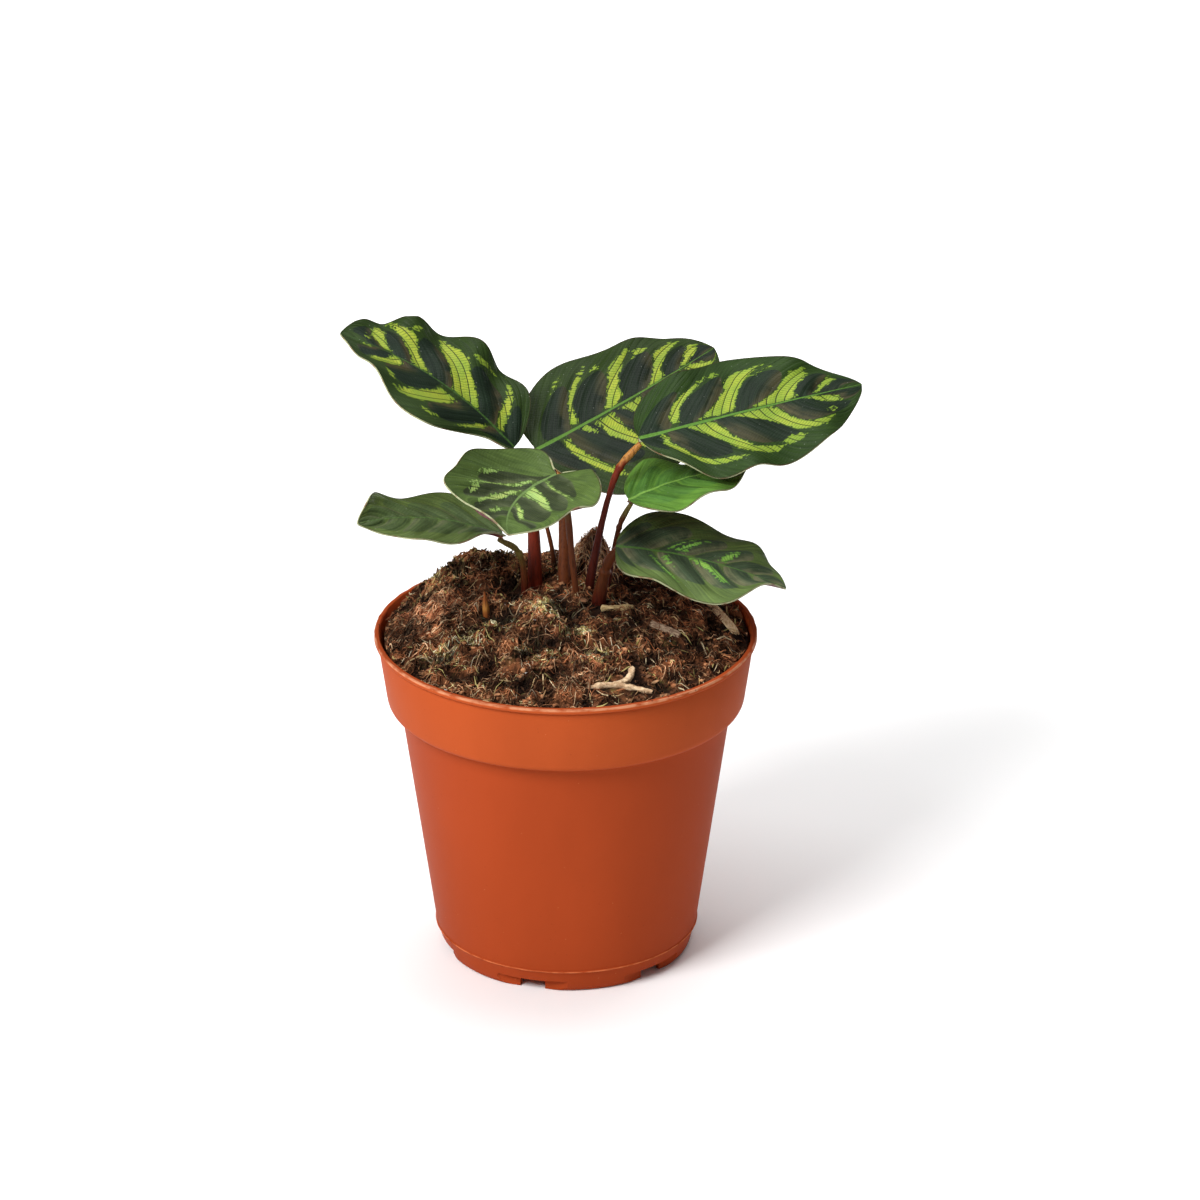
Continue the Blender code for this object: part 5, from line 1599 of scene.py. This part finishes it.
# Kinds of litter: what share gathers round the centres, the form of a bit, the shades, their
# roughness, and whether the soil's own areas of painted shade and of paler tone darken and
# lighten the kind too
Litter = namedtuple("Litter", "name centres share form shades rough patchy")
LITTER = (
    Litter(
        "peat_fibres", (), 0.0,
        Strand((0.9, 3.2), (0.09, 0.24), (0.0, 0.8), (-0.2, 1.6), 2.6, 4, 3),
        ((0.150, 0.056, 0.024), (0.340, 0.130, 0.054), (0.060, 0.024, 0.012),
         (0.520, 0.240, 0.110), (0.220, 0.080, 0.034)), 0.72, True,
    ),
    Litter(
        "coir_fibres", COIR_CENTRES, 2 / 3,
        Strand((2.6, 7.5), (0.07, 0.15), (0.2, 1.7), (-0.2, 1.7), 4.4, 6, 3),
        ((0.420, 0.150, 0.062), (0.600, 0.280, 0.135), (0.240, 0.082, 0.034),
         (0.740, 0.450, 0.250), (0.340, 0.115, 0.048)), 0.66, True,
    ),
    Litter(
        "peat_sprigs", SPRIG_CENTRES, 1.0,
        Strand((1.2, 3.0), (0.22, 0.52), (0.2, 0.9), (0.2, 2.4), 1.6, 3, 3),
        ((0.220, 0.086, 0.036), (0.400, 0.200, 0.092), (0.110, 0.046, 0.021),
         (0.340, 0.250, 0.100)), 0.72, True,
    ),
    Litter(
        "coir_tangles", TANGLE_CENTRES, 1.0,
        Strand((3.0, 8.5), (0.09, 0.17), (0.5, 2.6), (-0.2, 2.6), 5.5, 7, 3),
        ((0.500, 0.200, 0.095), (0.660, 0.360, 0.190), (0.320, 0.115, 0.052),
         (0.780, 0.540, 0.320)), 0.64, True,
    ),
    Litter(
        "moss_leaves", MOSS_CENTRES, 7 / 8,
        Strand((0.8, 2.4), (0.10, 0.20), (0.1, 0.7), (0.0, 1.4), 2.0, 3, 3),
        ((0.500, 0.430, 0.150), (0.720, 0.650, 0.320), (0.270, 0.225, 0.066),
         (0.860, 0.840, 0.580), (0.400, 0.240, 0.100)), 0.70, True,
    ),
    Litter(
        "pale_roots", (), 0.0,
        Strand((1.6, 6.0), (0.06, 0.12), (0.2, 1.2), (0.0, 1.8), 1.1, 8, 3),
        ((0.76, 0.58, 0.36), (0.86, 0.74, 0.52), (0.58, 0.36, 0.19)), 0.55, False,
    ),
    # Tan fibres, their shades made paler as painted light where the leaves above shade the tuft
    Litter(
        "tan_tuft", TUFT_CENTRES, 1.0,
        Strand((2.0, 6.0), (0.10, 0.19), (0.4, 2.2), (0.2, 3.8), 3.5, 6, 3),
        ((0.860, 0.520, 0.280), (0.960, 0.720, 0.460), (0.560, 0.270, 0.130)), 0.62, False,
    ),
    Litter(
        "straw_bits", (), 0.0,
        Strand((1.8, 7.0), (0.12, 0.28), (0.1, 0.6), (0.0, 1.6), 0.22, 3, 4),
        ((0.66, 0.46, 0.23), (0.84, 0.68, 0.42), (0.46, 0.26, 0.12), (0.52, 0.44, 0.16)),
        0.62, False,
    ),
    Litter(
        "peat_crumbs", (), 0.0, Lump((0.20, 0.72), (0.6, 1.0)),
        ((0.150, 0.058, 0.026), (0.280, 0.115, 0.050), (0.080, 0.034, 0.018),
         (0.440, 0.210, 0.100)), 0.70, True,
    ),
    Litter(
        "mineral_specks", (), 0.0, Lump((0.16, 0.42), (0.6, 1.0)),
        ((0.62, 0.60, 0.54), (0.74, 0.72, 0.68), (0.48, 0.44, 0.36)), 0.70, True,
    ),
    Litter(
        "bark_bits", (), 0.0, Lump((0.5, 1.3), (0.25, 0.5)),
        ((0.220, 0.105, 0.052), (0.110, 0.055, 0.030), (0.380, 0.215, 0.110)), 0.70, True,
    ),
)


class PLANT_OT_litter(bpy.types.Operator):
    """Strews fibres, moss, roots, crumbs and bits of wood over the soil"""

    bl_idname = "plant.litter"
    bl_label = "Soil litter"

    def execute(self, context):
        settings = context.scene.peacock_plant.soil
        draw = np.random.default_rng(settings.seed)
        heights = soil_surface()
        for litter in LITTER:
            places = litter_places(draw, getattr(settings, litter.name), litter)
            lumps = isinstance(litter.form, Lump)
            build = lump_mesh if lumps else strand_mesh
            mesh = build(litter.name, draw, places, litter.form, heights)
            item = bpy.data.objects.new(litter.name, mesh)
            context.scene.collection.objects.link(item)
            tones = litter.name + "_tones"
            paint = scatter_paint(tones, litter.shades, litter.rough, litter.patchy)
            mesh.materials.append(paint)
            finish_piece(item, [], SMOOTH["lump"] if lumps else None)
        return {"FINISHED"}


class PLANT_OT_wood(bpy.types.Operator):
    """Lays the wood chip, the bark stick and the twigs on the soil"""

    bl_idname = "plant.wood"
    bl_label = "Wood on the soil"

    def execute(self, context):
        noise.seed_set(NOISE_SEED)
        # The chip's pale wood is made paler still, painted light where the low right leaf shades it
        self.split_chip(
            "split_wood_chip", "wood_chip", WOOD_CHIP, (0.95, 0.74, 0.46), (0.62, 0.40, 0.20)
        )
        self.split_chip(
            "weathered_bark_stick", "bark_stick", BARK_STICK,
            (0.50, 0.36, 0.24), (0.15, 0.085, 0.052),
        )
        self.bend_twig(
            "short_pale_twig", "short_twig", (SHORT_TWIG,), (0.74, 0.56, 0.28), (0.34, 0.21, 0.09)
        )
        self.bend_twig(
            "forked_pale_twig", "forked_twig", FORKED_TWIG, (0.80, 0.60, 0.38), (0.36, 0.20, 0.10)
        )
        return {"FINISHED"}

    def split_chip(self, name, node, chip, pale, dark):
        """A bar that is cut finer, torn at its ends and roughened along its grain."""
        x, y, heading, length, width, thickness = chip
        along = Vector((math.cos(math.radians(heading)), math.sin(math.radians(heading))))
        ends = [Vector((x, y)) + along * side * length / 2 for side in (-1, 1)]
        low, high = (plain_soil_height(end.x, end.y) for end in ends)
        tilt = math.atan2(high - low, length)
        middle = Vector((x, y, (low + high) / 2 + thickness / 2 - CHIP_SINK))
        clear_selection()
        bpy.ops.mesh.primitive_cube_add(size=1.0)
        item = bpy.context.object
        item.name = name
        item.scale = (length, width, thickness)
        bpy.ops.object.transform_apply(scale=True)
        edit_all()
        bpy.ops.mesh.subdivide(number_cuts=CHIP_CUTS)
        bpy.ops.object.mode_set(mode="OBJECT")
        places = coordinates(item.data)
        for index, (px, py, pz) in enumerate(places):
            grain = noise.noise(Vector((px / 7.0, py * 2.2, pz * 2.2)))
            torn = noise.noise(Vector((py * 3.1, pz * 3.1, 4.0 if px > 0 else 9.0)))
            share = abs(px) / (length / 2)
            px = px * (1.0 - 0.08 * share * (torn + 0.6))
            narrow = 1.0 - 0.22 * share**3 + 0.10 * noise.noise(Vector((px / 3.0, 0.0, 1.0)))
            py = py * narrow * (1.0 + 0.10 * grain)
            pz = pz * (1.0 + 0.22 * grain) * (1.0 - 0.15 * share**2)
            bow = 0.35 * math.sin(px / length * 2.4)
            places[index] = (px, py + bow, pz)
        move_vertices(item.data, places)
        turn = Matrix.Rotation(math.radians(heading), 4, "Z") @ Matrix.Rotation(-tilt, 4, "Y")
        item.data.transform(Matrix.Scale(MM, 4) @ Matrix.Translation(middle) @ turn)
        lies_across = abs(along.x) > abs(along.y)
        drawn_out = (0.25, 1.0, 1.0) if lies_across else (1.0, 0.2, 1.0)
        item.data.materials.append(wood_paint(name + "_grain", pale, dark, drawn_out))
        finish_piece(item, [node], SMOOTH["chip"])

    def bend_twig(self, name, node, branches, pale, dark):
        """One or two bent, uneven branches, joined where they fork."""
        parts = []
        for points in branches:
            lift = TWIG_RADIUS - TWIG_SINK
            route = [(x, y, plain_soil_height(x, y) + lift, TWIG_RADIUS) for x, y in points]
            fine = smooth_route(route, 36)
            for index, point in enumerate(fine):
                seed = Vector((point[0] / 2.2, point[1] / 2.2, 7.0))
                point[3] *= 1.06 + 0.46 * noise.noise(seed) - 0.25 * (index > 33)
                point[2] += 0.12 * noise.noise(seed * 1.7)
            parts.append(draw_tube(name, fine))
        if len(parts) > 1:
            clear_selection()
            join = parts[0].modifiers.new("join", "BOOLEAN")
            join.operation = "UNION"
            join.object = parts[1]
            join.solver = "EXACT"
            apply_modifiers(parts[0])
            bpy.data.objects.remove(parts[1], do_unlink=True)
        twig = parts[0]
        places = coordinates(twig.data) / MM
        for index, place in enumerate(places):
            wiggle = noise.noise_vector(Vector(place) / 0.9)
            places[index] = place + np.array(wiggle) * TWIG_ROUGHNESS
        move_vertices(twig.data, places * MM)
        twig.data.materials.append(wood_paint(name + "_grain", pale, dark, (0.3, 1.0, 1.0)))
        finish_piece(twig, [node], SMOOTH["twig"])


class PLANT_OT_stalks(bpy.types.Operator):
    """Draws the leaf stalks with their swollen joints, the dry stalk and the spear"""

    bl_idname = "plant.stalks"
    bl_label = "Stalks"

    def execute(self, context):
        settings = context.scene.peacock_plant.stalks
        noise.seed_set(NOISE_SEED)
        for leaf in LEAVES:
            node = "petiole_" + leaf.name
            points = STALKS[leaf.name]
            end = self.joint_place(leaf, points[-1][:3])
            route = smooth_route((*points, (*end, leaf.joint)), settings.segments)
            self.swell(route, settings)
            share = np.linspace(0.0, 1.0, len(route))
            top = SLIM_TOPS.get(leaf.name, 1.0)
            route[:, 3] *= np.interp(share, SLIM_STRETCH, (1.0, top))
            self.add_stalk("stalk_" + leaf.name, node, route)
        dry = smooth_route(DRY_STALK, settings.segments // 2)
        for index, point in enumerate(dry):
            point[3] *= 1.0 + 0.20 * noise.noise(Vector((0.0, 0.0, index / 2.0)))
        self.add_stalk("dry_thin_stalk", "dry_stalk", dry)
        spear = smooth_route(SPEAR, settings.segments // 2)
        spear[:, 3] *= SPEAR_SLIMNESS
        self.add_stalk("rolled_spear", "spear_shoot", spear)
        return {"FINISHED"}

    def joint_place(self, leaf, before):
        """Where a stalk ends: its rim just clears the blade's underside."""
        along, _, upward = (Vector(axis) for axis in leaf_frame(leaf, 0.0))
        under = Vector(leaf.base) + along * JOINT_REACH - upward * leaf.seat
        lean = (under - Vector(before)).normalized().dot(upward)
        return under - upward * leaf.joint * math.sqrt(max(0.0, 1.0 - lean * lean))

    def swell(self, route, settings):
        """Swells the last length under the blade, with a slight ring where it begins."""
        steps = np.linalg.norm(np.diff(route[:, :3], axis=0), axis=1)
        left = np.concatenate([np.cumsum(steps[::-1])[::-1], [0.0]])
        joint = settings.joint_length / MM
        share = np.clip(1.0 - left / joint, 0.0, 1.0)
        route[:, 3] *= 1.0 + settings.swelling * np.sin(math.pi * share) ** 0.7
        route[:, 3] *= 1.0 - 0.12 * np.exp(-(((left - joint) / 0.7) ** 2))
        route[:, 3] *= 1.0 + 0.30 * np.exp(-(((left - joint - 1.1) / 0.55) ** 2)) * (left > joint)

    def add_stalk(self, name, node, route):
        stalk = draw_tube(name, route)
        places = coordinates(stalk.data) / MM
        for index, place in enumerate(places):
            seed = Vector((place[0] / 1.1, place[1] / 1.1, place[2] / 7.0))
            places[index] = place + np.array(noise.noise_vector(seed)) * STALK_ROUGHNESS
        move_vertices(stalk.data, places * MM)
        stalk.data.materials.append(stalk_paint(name, BARKS[node]))
        finish_piece(stalk, [node], SMOOTH["stalk"])


class PLANT_OT_leaves(bpy.types.Operator):
    """Shapes the seven waved blades and paints their feathered stripes"""

    bl_idname = "plant.leaves"
    bl_label = "Leaves"

    def execute(self, context):
        settings = context.scene.peacock_plant.leaves
        low, high = (np.array(corner) for corner in CAD_BOUNDS)
        for leaf in LEAVES:
            blade = self.shape_blade(leaf, settings)
            tone = TONES[leaf.name]
            blade.data.materials.append(stripes_paint(leaf, tone, settings))
            blade.data.materials.append(underside_paint(leaf, settings))
            blade.data.materials.append(edge_paint(leaf, tuple(settings.edge)))
            apply_modifiers(blade)
            move_vertices(blade.data, np.clip(coordinates(blade.data), low, high))
            node = "leaf_" + leaf.name
            finish_piece(blade, [node], SMOOTH["blade"])
        return {"FINISHED"}

    def shape_blade(self, leaf, settings):
        """Bends a flat grid to the blade's form, keeps its veins' courses, and thickens it."""
        clear_selection()
        bpy.ops.mesh.primitive_grid_add(
            x_subdivisions=settings.rows, y_subdivisions=settings.columns, size=2.0
        )
        item = bpy.context.object
        item.name = "blade_" + leaf.name
        flat = coordinates(item.data)
        even = (flat[:, 0] + 1.0) / 2
        crowded = (1.0 - np.cos(math.pi * even)) / 2
        share = np.clip(even + ROW_CROWDING * (crowded - even), 0.0, 1.0)
        offset = flat[:, 1]
        places = np.zeros((len(share), 3))
        marks = np.zeros((len(share), 3))
        veins = np.zeros((len(share), 3))
        middles = np.zeros(len(share))
        for sign, name in ((1.0, "left"), (-1.0, "right")):
            chosen = offset * sign >= 0
            at, out = share[chosen], np.abs(offset[chosen])
            found = self.half_blade(leaf, name, sign, at, out, settings)
            places[chosen], marks[chosen], veins[chosen], middles[chosen] = found
        move_vertices(item.data, places * MM)
        add_vector_attribute(item.data, "marks", marks)
        add_vector_attribute(item.data, "veins", veins)
        halves = np.stack([share, np.sign(offset) * HALF_SHIFT, middles], -1)
        add_vector_attribute(item.data, "half", halves)
        rib = item.vertex_groups.new(name="midrib")
        weights = (1.0 - share) * np.exp(-((veins[:, 1] / RIB_SPREAD) ** 2))
        for index in np.nonzero(weights > 0.01)[0]:
            rib.add([int(index)], float(weights[index]), "REPLACE")
        shell = item.modifiers.new("thickness", "SOLIDIFY")
        shell.thickness = settings.rib_thickness
        shell.offset = -1.0
        shell.vertex_group = "midrib"
        shell.thickness_vertex_group = settings.thickness / settings.rib_thickness
        shell.material_offset = 1
        shell.material_offset_rim = 2
        pick(item)
        edit_all()
        bpy.ops.mesh.remove_doubles(threshold=MERGE)
        bpy.ops.object.mode_set(mode="OBJECT")
        return item

    def half_blade(self, leaf, name, sign, share, out, settings):
        """Places, marks and veins of one half, and how near a stripe's middle they lie."""
        side = getattr(leaf, name)
        full = margin_reach(side, share)
        reach = full * out
        lobe = side.lobe * share / LOBE_STATION * np.exp(1.0 - share / LOBE_STATION)
        shift = side.sweep * np.sin(math.pi * share) - lobe
        station = share + out * shift / leaf.length
        _, across, upward = leaf_frame(leaf, station)
        fold = np.radians(leaf.fold + leaf.curl * out)
        wave = side.wave * np.sin(TURN * (side.waves * share + side.start)) * out**2
        wave = wave * between_ends(share, *WAVE_FADES)
        run = share - VEIN_RUN * out**VEIN_POWER
        height = pleat(leaf.name, name, run, out, share) * settings.pleat_height / MM
        groove = -GROOVE_DEPTH * np.exp(-((reach / GROOVE_SPREAD) ** 2)) * (1.0 - share)
        lift = reach * np.sin(fold) + wave + height + groove
        place = midrib_place(leaf, station)
        place = place + across * (sign * reach * np.cos(fold))[:, None] + upward * lift[:, None]
        stripes = MARKS.get(leaf.name, {}).get(name, ())
        stripe, middle_share = stripe_field(leaf, stripes, run, out, full)
        oval, flank = oval_field(leaf, stripes, run, out)
        tone = TONES[leaf.name]
        # Which side of each dark oval gets its painted sheen, by half
        sheen_mask = flank * (tone.lit_left if name == "left" else tone.lit_right)
        marks = np.stack([stripe, oval, sheen_mask], -1)
        veins = np.stack([run * leaf.length, reach, full - reach], -1)
        return place, marks, veins, middle_share


class PLANT_OT_rootstock(bpy.types.Operator):
    """Paints the rootstock, which keeps its own form under the soil"""

    bl_idname = "plant.rootstock"
    bl_label = "Rootstock"

    def execute(self, context):
        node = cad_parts["rootstock"]
        pale, dark = (0.42, 0.26, 0.13), (0.16, 0.07, 0.03)
        paint = wood_paint("rootstock_skin", pale, dark, (1.0, 1.0, 0.4))
        for slot in node.material_slots:
            slot.material = paint
        return {"FINISHED"}


class PLANT_OT_stage(bpy.types.Operator):
    """Sets up the floor, the lights and the camera"""

    bl_idname = "plant.stage"
    bl_label = "Stage"

    def execute(self, context):
        settings = context.scene.peacock_plant.stage
        self.add_floor(settings)
        for name, place, size, power, aim in LIGHTS:
            self.add_light(name, place, size, getattr(settings, power), aim)
        world = bpy.data.worlds.new("studio")
        world.use_nodes = True
        background = world.node_tree.nodes["Background"]
        background.inputs["Color"].default_value = (1.0, 1.0, 1.0, 1.0)
        background.inputs["Strength"].default_value = WORLD_STRENGTH
        context.scene.world = world
        context.scene.view_settings.view_transform = "Standard"
        self.add_camera(context)
        return {"FINISHED"}

    def add_floor(self, settings):
        clear_selection()
        bpy.ops.mesh.primitive_circle_add(vertices=96, radius=FLOOR_RADIUS, fill_type="NGON")
        floor = bpy.context.object
        floor.name = "studio_floor"
        edit_all()
        bpy.ops.mesh.inset(thickness=FLOOR_RIM)
        bpy.ops.object.mode_set(mode="OBJECT")
        floor.location.z = -FLOOR_DROP
        bpy.ops.object.transform_apply(location=True)
        paint = Paint("studio_floor_finish")
        grain = paint.noise(paint.place(), 40.0, 2.0)
        shade = tuple(settings.floor)
        colour = paint.mix(grain, shade, scaled(shade, 0.985))
        floor.data.materials.append(paint.set(Base_Color=colour, Roughness=0.9))

    def add_light(self, name, place, size, power, aim):
        light = bpy.data.lights.new(name, "AREA")
        light.shape = "SQUARE"
        light.size = size
        light.energy = power
        item = bpy.data.objects.new(name, light)
        bpy.context.scene.collection.objects.link(item)
        item.location = place
        item.rotation_euler = (Vector(aim) - Vector(place)).to_track_quat("-Z", "Y").to_euler()

    def add_camera(self, context):
        camera = bpy.data.cameras.new("photo_camera")
        camera.lens = LENS
        camera.sensor_width = SENSOR
        camera.clip_end = CLIP_END
        item = bpy.data.objects.new("photo_camera", camera)
        context.scene.collection.objects.link(item)
        down = math.radians(LOOK_DOWN)
        back = Vector((0.0, -math.cos(down), math.sin(down))) * DISTANCE
        item.location = (Vector(AIM) + back) * MM
        item.rotation_euler = (math.pi / 2 - down, 0.0, 0.0)
        context.scene.camera = item


class PLANT_PT_panel(bpy.types.Panel):
    """Lists the steps that build the plant"""

    bl_label = "Potted peacock plant"
    bl_idname = "PLANT_PT_panel"
    bl_space_type = "VIEW_3D"
    bl_region_type = "UI"
    bl_category = "Plant"

    def draw(self, context):
        settings = context.scene.peacock_plant
        groups = (
            (settings.pot, ("plant.pot",)),
            (settings.soil, ("plant.soil", "plant.litter", "plant.wood")),
            (settings.stalks, ("plant.stalks", "plant.rootstock")),
            (settings.leaves, ("plant.leaves",)),
            (settings.stage, ("plant.stage",)),
        )
        for group, operators in groups:
            box = self.layout.box()
            for name in group.__annotations__:
                box.prop(group, name)
            for operator in operators:
                box.operator(operator)


CLASSES = (
    LeafSettings, StalkSettings, PotSettings, SoilSettings, StageSettings, PlantSettings,
    PLANT_OT_pot, PLANT_OT_soil, PLANT_OT_litter, PLANT_OT_wood, PLANT_OT_stalks,
    PLANT_OT_leaves, PLANT_OT_rootstock, PLANT_OT_stage, PLANT_PT_panel,
)


def register():
    for item in CLASSES:
        bpy.utils.register_class(item)
    bpy.types.Scene.peacock_plant = PointerProperty(type=PlantSettings)


def unregister():
    del bpy.types.Scene.peacock_plant
    for item in reversed(CLASSES):
        bpy.utils.unregister_class(item)


def main():
    register()
    bpy.ops.plant.pot()
    bpy.ops.plant.soil()
    bpy.ops.plant.litter()
    bpy.ops.plant.wood()
    bpy.ops.plant.stalks()
    bpy.ops.plant.leaves()
    bpy.ops.plant.rootstock()
    bpy.ops.plant.stage()
    clear_selection()


if __name__ == "__main__":
    main()
